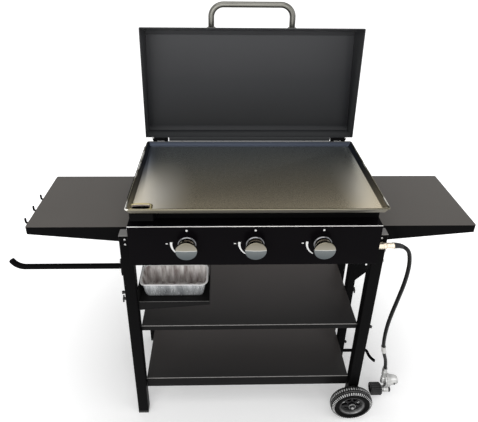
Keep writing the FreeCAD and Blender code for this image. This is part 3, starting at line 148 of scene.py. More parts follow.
# Finishes.
# Each finish is a Principled shader. A wide noise field on the piece's own coordinates varies its colour,
# and a fine one, stretched by "grain" for brushed, drawn or cast surfaces, varies its gloss and its relief.
# What a finish leaves out, it takes from the usual look.
usualLook = {"metal": 0.0, "spread": 0.1, "patch": 60.0, "fine": 700.0, "relief": 0.05, "grain": (1, 1, 1),
             "sheen": 0.5}
finishLooks = {
    "blackEnamel": {"colour": (0.0024, 0.0023, 0.0025), "other": (0.0038, 0.0037, 0.0039), "gloss": 0.36,
        "patch": 6.0, "fine": 900.0, "relief": 0.1, "sheen": 0.015},
    # painted light: a lighter copy of the black enamel for the shelves and the grease tray
    "litLipEnamel": {"colour": (0.0072, 0.007, 0.0071), "other": (0.0102, 0.01, 0.0101), "gloss": 0.36,
        "patch": 6.0, "fine": 900.0, "relief": 0.1, "sheen": 0.03},
    "panelEnamel": {"colour": (0.0026, 0.0021, 0.0027), "other": (0.0036, 0.0031, 0.0038), "gloss": 0.24,
        "spread": 0.06, "patch": 8.0, "sheen": 0.015},
    # painted light: the side shelves' upper faces, far lighter than the black enamel of the same sheet
    "shelfTopLit": {"colour": (0.078, 0.071, 0.064), "other": (0.095, 0.087, 0.079), "gloss": 0.42,
        "spread": 0.12, "patch": 4.0, "relief": 0.12, "sheen": 0.25},
    # painted highlights along folded edges: a pale one for the control panel's top fold and a softer one for
    # the shelves and the tray
    "edgeHighlight": {"colour": (0.8, 0.79, 0.775), "other": (0.92, 0.905, 0.885), "metal": 0.2, "gloss": 0.34,
        "patch": 30.0, "sheen": 0.4},
    "softEdgeHighlight": {"colour": (0.17, 0.165, 0.16), "other": (0.3, 0.29, 0.28), "gloss": 0.34, "patch": 30.0,
        "sheen": 0.4},
    "stainless": {"colour": (0.175, 0.172, 0.155), "other": (0.105, 0.103, 0.092), "metal": 1.0,
        "gloss": 0.28, "patch": 12.0, "fine": 260.0, "relief": 0.08, "grain": (1, 14, 14)},
    "darkChrome": {"colour": (0.16, 0.16, 0.165), "other": (0.12, 0.12, 0.125), "metal": 1.0, "gloss": 0.16,
        "spread": 0.06, "patch": 30.0, "fine": 300.0, "relief": 0.02},
    "zinc": {"colour": (0.5, 0.5, 0.49), "other": (0.36, 0.36, 0.355), "metal": 1.0, "gloss": 0.32,
        "spread": 0.12, "fine": 500.0, "relief": 0.06},
    "castAluminium": {"colour": (0.58, 0.58, 0.57), "other": (0.22, 0.22, 0.215), "metal": 0.9, "gloss": 0.38,
        "patch": 30.0, "fine": 1400.0, "relief": 0.22},
    "foilInside": {"colour": (1.0, 0.97, 0.95), "other": (0.34, 0.29, 0.275), "metal": 0.1, "gloss": 0.26,
        "spread": 0.12, "patch": 70.0, "fine": 300.0, "relief": 0.35, "grain": (1, 1, 0.08), "sheen": 0.6,
        "drawn": True},
    "foilOutside": {"colour": (0.56, 0.575, 0.585), "other": (0.2, 0.21, 0.22), "metal": 0.45, "gloss": 0.26,
        "spread": 0.12, "fine": 300.0, "relief": 0.35, "grain": (1, 1, 0.1), "sheen": 0.6, "drawn": True},
    "foilRim": {"colour": (1.0, 1.0, 0.99), "other": (0.8, 0.79, 0.78), "gloss": 0.22, "fine": 300.0,
        "relief": 0.2, "sheen": 0.6},
    "brass": {"colour": (0.74, 0.66, 0.54), "other": (0.62, 0.54, 0.43), "metal": 0.9, "gloss": 0.28,
        "spread": 0.08, "patch": 40.0, "fine": 400.0},
    "blackPlastic": {"colour": (0.0075, 0.0075, 0.0075), "other": (0.011, 0.011, 0.011), "gloss": 0.36,
        "patch": 20.0, "fine": 1600.0, "relief": 0.12, "sheen": 0.3},
    "glossPlastic": {"colour": (0.0028, 0.0028, 0.0031), "other": (0.0046, 0.0046, 0.005), "gloss": 0.2,
        "spread": 0.08, "patch": 20.0, "fine": 900.0, "relief": 0.06, "sheen": 0.2},
    # painted highlight on the black plastic rim: the barrel's inside and the hub collar
    "rimHighlight": {"colour": (0.05, 0.05, 0.05), "other": (0.34, 0.34, 0.34), "metal": 0.3, "gloss": 0.24,
        "spread": 0.08, "patch": 20.0, "fine": 900.0, "sheen": 0.6},
    "greyPlastic": {"colour": (0.15, 0.145, 0.14), "other": (0.185, 0.18, 0.175), "gloss": 0.46,
        "spread": 0.08, "patch": 20.0, "fine": 1500.0, "relief": 0.12, "sheen": 0.4},
    "tyreRubber": {"colour": (0.0022, 0.0022, 0.0022), "other": (0.0048, 0.0048, 0.0048), "gloss": 0.5,
        "spread": 0.12, "patch": 25.0, "fine": 1100.0, "relief": 0.25, "sheen": 0.02},
    # painted highlight: the tread's ribs and teeth are paler than the black rubber, standing in for light on
    # the tread
    "litRibRubber": {"colour": (0.004, 0.004, 0.004), "other": (0.045, 0.045, 0.044), "gloss": 0.4,
        "spread": 0.12, "fine": 1100.0, "relief": 0.2, "sheen": 0.4},
    "litToothRubber": {"colour": (0.2, 0.2, 0.2), "other": (0.66, 0.66, 0.655), "gloss": 0.42, "spread": 0.12,
        "fine": 1100.0, "relief": 0.2, "sheen": 0.4},
    "hoseRubber": {"colour": (0.002, 0.002, 0.002), "other": (0.0034, 0.0034, 0.0034), "gloss": 0.3,
        "spread": 0.06, "patch": 40.0, "fine": 500.0, "relief": 0.08, "sheen": 0.12},
    "paleSleeve": {"colour": (0.62, 0.62, 0.6), "other": (0.52, 0.52, 0.5), "gloss": 0.38, "spread": 0.06,
        "fine": 500.0, "relief": 0.06},
    "whiteInk": {"colour": (0.8, 0.8, 0.79), "other": (0.72, 0.72, 0.71), "gloss": 0.5, "spread": 0.05,
        "patch": 80.0, "fine": 900.0},
}
# These surfaces change colour along the piece. On the skirt, the slot and the bead the change is heat, oil,
# dust and handling; on the griddle floor, its walls and rim, the hood, the low shelves and the knobs it is
# painted light, shade and reflection.
shadedLooks = {
    "griddleSteel": {"axis": "Y", "start": -0.24, "end": 0.115,
        # painted reflection: the floor runs from light and warm at the front to dark and blue at the rear,
        # standing in for the hood reflected in it
        "stops": [(0.0, (0.6, 0.52, 0.37)), (0.35, (0.42, 0.38, 0.29)), (0.7, (0.29, 0.295, 0.27)),
                  (1.0, (0.2, 0.225, 0.24))],
        "metal": 0.88, "gloss": 0.27, "patch": 5.0, "wander": 0.18, "fine": 420.0, "relief": 0.04,
        "grain": (1, 5, 1),
        # painted reflections: a pale glow at the front left and one at the front right; painted shade: a dark
        # blue band along the left wall
        "paintedLightPatches": [((-0.238, -0.15), (0.11, 0.21), (0.74, 0.71, 0.64), 0.36, 0.8),
                ((0.305, -0.12), (0.07, 0.19), (0.66, 0.64, 0.58), 0.36, 0.45),
                ((-0.315, 0.02), (0.07, 0.2), (0.07, 0.085, 0.13), 0.3, 0.95)]},
    "wallSteel": {"axis": "Y", "start": -0.24, "end": 0.115,
        # painted light and shade: the inner walls are pale at the front and nearly black at the rear
        "stops": [(0.0, (0.48, 0.42, 0.29)), (0.3, (0.17, 0.155, 0.125)), (0.65, (0.035, 0.038, 0.045)),
                  (1.0, (0.03, 0.036, 0.05))],
        "metal": 0.85, "gloss": 0.3, "patch": 6.0, "wander": 0.2, "fine": 420.0, "relief": 0.04,
        "grain": (1, 5, 1), "sheen": 0.3},
    "skirtSteel": {"axis": "X", "start": -0.31, "end": 0.38,
        "stops": [(0.0, (0.15, 0.135, 0.095)), (0.5, (0.12, 0.108, 0.085)), (1.0, (0.14, 0.128, 0.1))],
        "metal": 0.85, "gloss": 0.3, "patch": 8.0, "wander": 0.3, "fine": 420.0, "grain": (5, 1, 1),
        "sheen": 0.4},
    "slotSteel": {"axis": "X", "start": -0.31, "end": 0.38,
        "stops": [(0.0, (0.66, 0.58, 0.55)), (1.0, (0.6, 0.53, 0.5))], "metal": 0.4, "gloss": 0.3,
        "patch": 8.0, "wander": 0.3, "fine": 420.0, "sheen": 0.4},
    "rimSteel": {"axis": "X", "start": -0.322, "end": 0.375,
        # painted highlight: the rim is pale towards its two side ends, where the side rims catch the light
        "stops": [(0.0, (0.92, 0.91, 0.86)), (0.01, (0.84, 0.82, 0.76)), (0.022, (0.14, 0.127, 0.09)),
                  (0.978, (0.14, 0.127, 0.09)), (0.99, (0.62, 0.6, 0.54)), (1.0, (0.74, 0.72, 0.66))],
        "metal": 0.85, "gloss": 0.2, "spread": 0.08, "patch": 12.0, "wander": 0.3, "fine": 420.0,
        "relief": 0.03, "sheen": 0.3,
        # painted shade: a dark band along the rear rim
        "paintedLightPatches": [((0.026, 0.135), (3.0, 0.1), (0.035, 0.038, 0.045), 0.35, 0.97)]},
    "beadSteel": {"axis": "Y", "start": -0.24, "end": 0.115,
        "stops": [(0.0, (0.34, 0.29, 0.15)), (1.0, (0.26, 0.22, 0.13))], "metal": 0.8, "gloss": 0.2,
        "spread": 0.06, "patch": 30.0, "wander": 0.2, "fine": 420.0, "relief": 0.03},
    "hoodEnamel": {"axis": "Z", "start": 0.95, "end": 1.32,
        # painted light: the hood's inside is near black at the bottom and lighter towards the top
        "stops": [(0.0, (0.0088, 0.0094, 0.0108)), (0.5, (0.0245, 0.0255, 0.028)),
                  (1.0, (0.059, 0.06, 0.064))],
        "gloss": 0.34, "spread": 0.08, "patch": 3.0, "wander": 0.14, "relief": 0.08, "sheen": 0.15,
        # painted light: the hood's front wall and side walls are lightened where they stand in shade
        "paintedLightPatches": [((0.026, 0.15), (2.0, 0.045), (0.06, 0.062, 0.064), 0.34, 0.85)]},
    "lowShelfEnamel": {"axis": "Y", "start": -0.145, "end": 0.135,
        # painted light: the low shelves' upper faces are lighter than the black enamel, and lighter towards
        # the rear
        "stops": [(0.0, (0.022, 0.0215, 0.0215)), (1.0, (0.074, 0.065, 0.062))], "gloss": 0.4, "spread": 0.12,
        "patch": 4.0, "wander": 0.14, "relief": 0.1, "sheen": 0.2},
    "chrome": {"axis": "Z", "start": 0.764, "end": 0.824,
        # painted reflection: the knob's face is blue-grey below, crossed by a white line, and beige above, as
        # the floor and the griddle rim would show in it
        "stops": [(0.0, (0.078, 0.09, 0.095)), (0.53, (0.125, 0.136, 0.138)), (0.555, (0.5, 0.5, 0.48)),
                  (0.58, (0.22, 0.205, 0.17)), (1.0, (0.13, 0.118, 0.09))],
        "metal": 1.0, "gloss": 0.13, "spread": 0.05, "patch": 40.0, "wander": 0.1, "fine": 300.0,
        "relief": 0.01},
}
# finishes whose two colours meet with a harder edge than the noise gives
contrasts = {"foilInside": 3.2, "foilOutside": 2.4, "castAluminium": 3.0, "litToothRubber": 2.4, "litRibRubber": 2.4,
             "rimHighlight": 2.2}
bumpHeight = 0.0005
finishes = {}


def feed(tree, node, inputs):
    # each named input takes a value, or a link where it is given a socket
    for name, value in inputs.items():
        if isinstance(value, bpy.types.NodeSocket):
            tree.links.new(value, node.inputs[name])
        else:
            node.inputs[name].default_value = value
    return node


def addNode(tree, kind, inputs=None, **settings):
    node = tree.nodes.new("ShaderNode" + kind)
    for name, value in settings.items():
        setattr(node, name, value)
    return feed(tree, node, inputs or {})


def mathOf(tree, operation, first, second):
    return addNode(tree, "Math", {0: first, 1: second}, operation=operation).outputs["Value"]


def mixOfColours(tree, factor, first, second):
    inputs = {"A": (*first, 1.0), "B": (*second, 1.0), "Factor": factor}
    return addNode(tree, "Mix", inputs, data_type="RGBA").outputs["Result"]


def spreadValue(tree, factor, middle, spread):
    # maps a 0 to 1 field to middle - spread / 2 ... middle + spread / 2
    inputs = {"To Min": middle - spread / 2, "To Max": middle + spread / 2, "Value": factor}
    return addNode(tree, "MapRange", inputs).outputs["Result"]


def noiseField(tree, vector, scale, detail=3.0):
    return addNode(tree, "TexNoise", {"Scale": scale, "Detail": detail, "Vector": vector}).outputs["Fac"]


def gradedColour(tree, place, look):
    # colour stops along one of the piece's axes, their edges moved about by a wide noise
    split = addNode(tree, "SeparateXYZ", {"Vector": place})
    along = addNode(tree, "MapRange", {"From Min": look["start"], "From Max": look["end"],
                                       "Value": split.outputs[look["axis"]]})
    wander = spreadValue(tree, noiseField(tree, place, look["patch"], 5.0), 0.0, look["wander"])
    ramp = addNode(tree, "ValToRGB", {"Fac": mathOf(tree, "ADD", along.outputs["Result"], wander)})
    for index, (position, colour) in enumerate(look["stops"]):
        stop = ramp.color_ramp.elements[index] if index < 2 else ramp.color_ramp.elements.new(position)
        stop.position = position
        stop.color = (*colour, 1.0)
    return ramp.outputs["Color"]


def paintedLightOval(tree, place, sources, middle, reach, tint, gloss, share):
    # an oval of painted light, shade and reflection that changes the piece's colour and gloss: its strength
    # falls smoothly from
    # "share" at the middle to nothing at one reach away
    centred = addNode(tree, "Mapping", {"Scale": (1 / reach[0], 1 / reach[1], 0.0), "Vector": place,
                                        "Location": (-middle[0] / reach[0], -middle[1] / reach[1], 0.0)})
    away = addNode(tree, "VectorMath", {0: centred.outputs["Vector"]}, operation="LENGTH")
    strength = addNode(tree, "MapRange", {"To Min": share, "To Max": 0.0, "Value": away.outputs["Value"]},
                       interpolation_type="SMOOTHSTEP").outputs["Result"]
    paint = addNode(tree, "Mix", {"A": sources[0], "B": (*tint, 1.0), "Factor": strength}, data_type="RGBA")
    rough = addNode(tree, "Mix", {"A": sources[1], "B": gloss, "Factor": strength})
    return paint.outputs["Result"], rough.outputs["Result"]


def makeFinish(name, look):
    finish = bpy.data.materials.new(name)
    finish.use_nodes = True
    tree = finish.node_tree
    place = addNode(tree, "TexCoord").outputs["Object"]
    grained = addNode(tree, "Mapping", {"Scale": look["grain"], "Vector": place}).outputs["Vector"]
    fine = noiseField(tree, grained, look["fine"])
    if "stops" in look:
        colour = gradedColour(tree, place, look)
    else:
        field = noiseField(tree, grained if look.get("drawn") else place, look["patch"], 4.0)
        share = spreadValue(tree, field, 0.5, contrasts.get(name, 1.0))
        colour = mixOfColours(tree, share, look["colour"], look["other"])
    rough = spreadValue(tree, fine, look["gloss"], look["spread"])
    for patch in look.get("paintedLightPatches", []):
        colour, rough = paintedLightOval(tree, place, (colour, rough), *patch)
    bump = addNode(tree, "Bump", {"Strength": look["relief"], "Distance": bumpHeight, "Height": fine})
    feed(tree, tree.nodes["Principled BSDF"], {"Metallic": look["metal"], "Specular IOR Level": look["sheen"],
                                               "Base Color": colour, "Roughness": rough,
                                               "Normal": bump.outputs["Normal"]})
    finishes[name] = finish


for finishName, finishLook in {**finishLooks, **shadedLooks}.items():
    makeFinish(finishName, {**usualLook, **finishLook})
hose.data.materials.append(finishes["hoseRubber"])
print("finishes made")

# How pieces are made.
# A part of a piece is a pair: its points in cart millimetres, and its faces as rows of point numbers.


def unit(vector):
    vector = np.asarray(vector, float)
    return vector / np.linalg.norm(vector, axis=-1, keepdims=True)


def squareTo(axis):
    # an axis of length 1 and two directions across it
    axis = unit(axis)
    across = unit(np.cross(axis, (0, 0, 1) if abs(axis[2]) < 0.9 else (0, 1, 0)))
    return axis, across, np.cross(axis, across)


def lengthsAlong(line):
    # how far along a line of places each of them is
    return np.concatenate([[0.0], np.cumsum(np.linalg.norm(np.diff(line, axis=0), axis=1))])


def ringsAcross(tangent, normal, sides):
    # circles of radius 1 square to each direction: cos(angle) * side + sin(angle) * other
    side = unit(np.cross(tangent, unit(normal)))
    other = np.cross(side, tangent)
    angle = np.linspace(0.0, 2 * np.pi, sides, endpoint=False)
    return np.cos(angle)[None, :, None] * side[:, None] + np.sin(angle)[None, :, None] * other[:, None]


def shadeSmooth(mesh, angle):
    mesh.polygons.foreach_set("use_smooth", np.ones(len(mesh.polygons), dtype=bool))
    mesh.set_sharp_from_angle(angle=math.radians(angle))


def gridPart(grid, wrapRows=False, wrapColumns=False):
    # joins each point of a rows x columns grid to its neighbours right and below with four-sided faces
    rows, columns = grid.shape[:2]
    r = np.arange(rows if wrapRows else rows - 1)[:, None]
    c = np.arange(columns if wrapColumns else columns - 1)[None, :]
    r1, c1 = (r + 1) % rows, (c + 1) % columns
    quads = np.stack([r * columns + c, r1 * columns + c, r1 * columns + c1, r * columns + c1], -1)
    return grid.reshape(-1, 3), quads.reshape(-1, 4)


def filleted(corners, reach, steps=6):
    # a line of corners, each inner one replaced by a circular arc that starts and ends "reach" before it:
    # the weighted mean of start, corner and end, the corner's weight being the cosine of half the turn
    corners = np.asarray(corners, float)
    reach = np.broadcast_to(np.asarray(reach, float), (len(corners) - 2,))[:, None]
    at = corners[1:-1]
    back, on = unit(corners[:-2] - at), unit(corners[2:] - at)
    weight = np.sqrt(np.clip((1.0 - np.sum(back * on, -1)) / 2.0, 1e-6, 1.0))[:, None, None]
    t = np.linspace(0.0, 1.0, steps)[None, :, None]
    start, end = (at + back * reach)[:, None], (at + on * reach)[:, None]
    a, b, c = (1 - t) ** 2, 2 * t * (1 - t) * weight, t ** 2
    arcs = (a * start + b * at[:, None] + c * end) / (a + b + c)
    return np.concatenate([corners[:1], arcs.reshape(-1, corners.shape[1]), corners[-1:]])


def turnedPart(profile, centre, axis, steps=48, ripple=None, closed=False):
    # turns a profile of (radius, height) about an axis: centre + height * axis + radius * (cos, sin)
    # across it; "ripple" gives a factor on the radius for each profile row and each angle
    profile = np.asarray(profile, float)
    angle = np.linspace(0.0, 2 * np.pi, steps, endpoint=False)
    axis, across, along = squareTo(axis)
    circle = np.cos(angle)[:, None] * across + np.sin(angle)[:, None] * along
    radius = profile[:, :1] * np.ones((1, steps))
    if ripple is not None:
        radius = radius * ripple(profile, angle)
    grid = np.asarray(centre, float) + profile[:, 1, None, None] * axis + radius[..., None] * circle[None]
    return gridPart(grid, wrapRows=closed, wrapColumns=True)


def tubePart(path, radius, normal, sides=20, soft=0.35):
    # circles square to a path; at both ends the radius falls along a quarter circle "soft" of the radius
    # wide, and closes in a point
    path = np.asarray(path, float)
    turn = np.linspace(0.0, np.pi / 2, 5)
    head, tail = unit(path[1] - path[0]), unit(path[-1] - path[-2])
    first = path[0] + (soft * radius * (1 - np.cos(turn)))[:, None] * head
    last = path[-1] - (soft * radius * (1 - np.cos(turn[::-1])))[:, None] * tail
    grown = radius * (1 - soft + soft * np.sin(turn))
    line = np.concatenate([path[:1], first, path[1:-1], last, path[-1:]])
    sizes = np.concatenate([[0.0], grown, np.full(len(path) - 2, radius), grown[::-1], [0.0]])
    tangent = np.concatenate([np.repeat(head[None], 6, 0), unit(path[2:] - path[:-2]),
                              np.repeat(tail[None], 6, 0)])
    ring = ringsAcross(tangent, normal, sides)
    return gridPart(line[:, None] + sizes[:, None, None] * ring, wrapColumns=True)


def oblong(halfA, halfB, corner, steps=6):
    # a rounded oblong run anticlockwise: a quarter circle about each of its four corner centres;
    # each size may be an array, which gives one loop for each of its values
    halfA, halfB, corner = np.broadcast_arrays(*(np.atleast_1d(np.asarray(v, float)) for v in (halfA,
                                                                                               halfB, corner)))
    quarter = np.linspace(0.0, np.pi / 2, steps)
    angle = (quarter[None, :] + np.arange(4)[:, None] * np.pi / 2).reshape(-1)
    signA = np.repeat([1.0, -1.0, -1.0, 1.0], steps)
    signB = np.repeat([1.0, 1.0, -1.0, -1.0], steps)
    a = signA * (halfA - corner)[:, None] + corner[:, None] * np.cos(angle)
    b = signB * (halfB - corner)[:, None] + corner[:, None] * np.sin(angle)
    return np.stack([a, b], -1)


def stackPart(levels, centre, first, second, up, steps=6):
    # rounded oblongs set one over another: rows of (half length, half width, corner, height) in the
    # directions first, second and up; the ends close flat
    levels = np.asarray(levels, float)
    loops = oblong(levels[:, 0], levels[:, 1], levels[:, 2], steps)
    heights = levels[:, 3]
    loops = np.concatenate([loops[:1] * 0.0, loops, loops[-1:] * 0.0])
    heights = np.concatenate([heights[:1], heights, heights[-1:]])
    first, second, up = unit(first), unit(second), unit(up)
    grid = (np.asarray(centre, float) + loops[..., :1] * first + loops[..., 1:] * second
            + heights[:, None, None] * up)
    return gridPart(grid, wrapColumns=True)


def softBox(half, height, corner, edge, centre, first, second, up):
    # a rounded oblong block whose upper and lower edges are eased by "edge"
    t = np.linspace(0.0, np.pi / 2, 4)
    inset, lift = edge * (1 - np.sin(t)), edge * (1 - np.cos(t))
    rows = [(half[0] - i, half[1] - i, max(corner - i, 0.2), z) for i, z in zip(inset, lift)]
    rows += [(a, b, c, height - z) for a, b, c, z in rows[::-1]]
    return stackPart(rows, centre, first, second, up)


def copiesAround(part, centre, axis, count):
    # turns a part about an axis into a ring of equal copies
    points, faces = part
    centre = np.asarray(centre, float)
    turns = np.stack([np.array(Matrix.Rotation(2 * math.pi * k / count, 3,
                                               Vector(axis))) for k in range(count)])
    ring = np.einsum("kij,nj->kni", turns, points - centre) + centre
    return ring.reshape(-1, 3), (faces[None] + np.arange(count)[:, None, None] * len(points)).reshape(-1, 4)


def cleaned(mesh, distance=0.000004):
    # joins doubled points and turns the faces outwards
    work = bmesh.new()
    work.from_mesh(mesh)
    bmesh.ops.remove_doubles(work, verts=work.verts, dist=distance)
    bmesh.ops.dissolve_degenerate(work, edges=work.edges, dist=distance)
    bmesh.ops.recalc_face_normals(work, faces=work.faces)
    work.to_mesh(mesh)
    work.free()


def addPiece(name, parts, replaced=(), body=None, angle=38):
    # builds one object from (part, finish name) pairs, and puts it in the place of the nodes it replaces
    points = np.concatenate([part[0] for part, _ in parts])
    starts = np.cumsum([0] + [len(part[0]) for part, _ in parts[:-1]])
    faces = np.concatenate([part[1] + start for (part, _), start in zip(parts, starts)])
    mesh = bpy.data.meshes.new(name)
    mesh.from_pydata(fromCart(points).tolist(), [], faces.tolist())
    used = list(dict.fromkeys(finish for _, finish in parts))
    index = np.concatenate([np.full(len(part[1]), used.index(finish)) for part, finish in parts])
    mesh.polygons.foreach_set("material_index", index.astype(np.int32))
    for finish in used:
        mesh.materials.append(finishes[finish])
    cleaned(mesh)
    shadeSmooth(mesh, angle)
    item = newItem(name, mesh)
    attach(item, body or bodyOfNode[replaced[0]])
    if replaced:
        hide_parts(*replaced)
    return item


# Folded sheet and tube: merged copies of the solids with eased edges.
easedNodes = {
    "blackEnamel": {"firebox": 0.5, "grease_chute": 0.3, "leg_front_left": 0.4, "leg_rear_left": 0.4,
                    "leg_front_right": 0.4, "leg_rear_right": 0.4, "side_rail_left": 0.4,
                    "side_rail_right": 0.4,
                    "shelf_bracket_left": 0.4, "shelf_bracket_right": 0.4, "tank_hanger": 0.5,
                    "side_shelf_left": 0.9,
                    "side_shelf_right": 0.9, "hinge_leaves": 0.4, "hinge_brackets": 0.4},
    "litLipEnamel": {"grease_tray": 0.4, "shelf_bottom": 0.4, "shelf_middle": 0.4},
    "panelEnamel": {"control_panel": 0.4},
    "hoodEnamel": {"hood_shell": 0.7},
    "brass": {"gas_inlet": 0.5},
    "greyPlastic": {"leg_top_caps": 0.8},
    "blackPlastic": {"leg_feet": 1.0},
}
# faces that look up take a second, lighter finish: painted light from above
litTopFinishes = {"side_shelf_left": "shelfTopLit", "side_shelf_right": "shelfTopLit",
               "shelf_bottom": "lowShelfEnamel",
               "shelf_middle": "lowShelfEnamel"}
# the fold along the front of these takes a pale finish, a painted highlight where the fold catches the light;
# one has a sharp fold, rounded here by "width" millimetres
foldHighlights = {"control_panel": "edgeHighlight", "grease_tray": "softEdgeHighlight", "shelf_bottom": "softEdgeHighlight",
                "shelf_middle": "softEdgeHighlight"}
sharpFold = {"node": "grease_tray", "width": 1.2, "near": 6.0, "long": 100.0, "same": 0.1}
# how the copies are eased: lengths in millimetres, angles in degrees; "up" and "foldSlope" are shares of
# a normal
easing = {"joined": 0.005, "flat": 1.0, "sharp": 35.0, "bevelled": 40.0, "up": 0.6, "foldSlope": 0.1,
          "foldDeep": 3.0}


def easedCopy(nodeName, finish, width):
    # the copy's doubles are joined, its flat faces made one, and its edges rounded by a bevel
    mesh = nodes[nodeName].data.copy()
    work = bmesh.new()
    work.from_mesh(mesh)
    bmesh.ops.remove_doubles(work, verts=work.verts, dist=easing["joined"] / 1000.0)
    bmesh.ops.dissolve_limit(work, angle_limit=math.radians(easing["flat"]), verts=work.verts,
                             edges=work.edges)
    if nodeName == sharpFold["node"]:
        # the long edges near the front, of these the highest, and of those the foremost
        near = min(vert.co.y for vert in work.verts) + sharpFold["near"] / 1000.0
        front = [edge for edge in work.edges if max(vert.co.y for vert in edge.verts) < near
                 and abs(edge.verts[0].co.x - edge.verts[1].co.x) > sharpFold["long"] / 1000.0]
        same = sharpFold["same"] / 1000.0
        top = max(edge.verts[0].co.z for edge in front)
        front = [edge for edge in front if min(vert.co.z for vert in edge.verts) > top - same]
        foremost = min(edge.verts[0].co.y for edge in front) + same
        bmesh.ops.bevel(work, geom=[edge for edge in front if edge.verts[0].co.y < foremost],
                        offset=sharpFold["width"] / 1000.0, segments=3, profile=0.5,
                        affect="EDGES", material=2,
                        clamp_overlap=False)
    work.to_mesh(mesh)
    work.free()
    facing, middle = np.empty(len(mesh.polygons) * 3), np.empty(len(mesh.polygons) * 3)
    rounded = np.empty(len(mesh.polygons), np.int32)
    mesh.polygons.foreach_get("normal", facing)
    mesh.polygons.foreach_get("center", middle)
    mesh.polygons.foreach_get("material_index", rounded)
    # finish 1, on faces that look up, is painted light from above; finish 2 is the painted highlight of a fold
    index = np.where(rounded == 2, 2, facing[2::3] > easing["up"]).astype(np.int32)
    if nodeName in foldHighlights and nodeName != sharpFold["node"]:
        # a fold looks forwards and up at once, and is near the front
        slope, front = easing["foldSlope"], middle[1::3].min() + easing["foldDeep"] / 1000.0
        folded = (facing[1::3] < -slope) & (facing[2::3] > slope) & (middle[1::3] < front)
        index[folded] = 2
    mesh.materials.clear()
    for extra in (finish, litTopFinishes.get(nodeName, finish), foldHighlights.get(nodeName, finish)):
        mesh.materials.append(finishes[extra])
    mesh.polygons.foreach_set("material_index", index)
    shadeSmooth(mesh, easing["sharp"])
    item = newItem(nodeName + "_eased", mesh)
    bevel = item.modifiers.new("easedEdges", "BEVEL")
    bevel.width = width / 1000.0
    bevel.segments = 2
    bevel.limit_method = "ANGLE"
    bevel.angle_limit = math.radians(easing["bevelled"])
    bevel.harden_normals = True
    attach(item, bodyOfNode[nodeName])
    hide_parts(nodeName)
    return item


for finishName, widths in easedNodes.items():
    for nodeName, width in widths.items():
        easedCopy(nodeName, finishName, width)
print("sheet and tube eased")

# nodes that stay as they are, and the finish each takes
plainNodes = {
    "griddleSteel": ["griddle_feet"],
    "stainless": ["burner_left", "burner_center", "burner_right", "burner_rail"],
    "castAluminium": ["gas_pipe"],
    "brass": ["valve_left", "valve_center", "valve_right"],
    "blackEnamel": ["hinge_pins"],
}
for finishName, nodeNames in plainNodes.items():
    for nodeName in nodeNames:
        materials = nodes[nodeName].data.materials
        for index in range(len(materials)):
            materials[index] = finishes[finishName]
        if not len(materials):
            materials.append(finishes[finishName])
print("plain nodes finished")

# Griddle plate.
plate = {"halfWide": 340.0, "halfDeep": 179.0, "middle": 179.0, "rim": 948.0, "deep": 14.0, "sheet": 4.0,
         "flare": 8.0, "corner": 7.0, "slot": (-303.5, 29.0), "slotHalf": (24.5, 9.0), "bead": 6.5,
         "beadRise": 3.0}


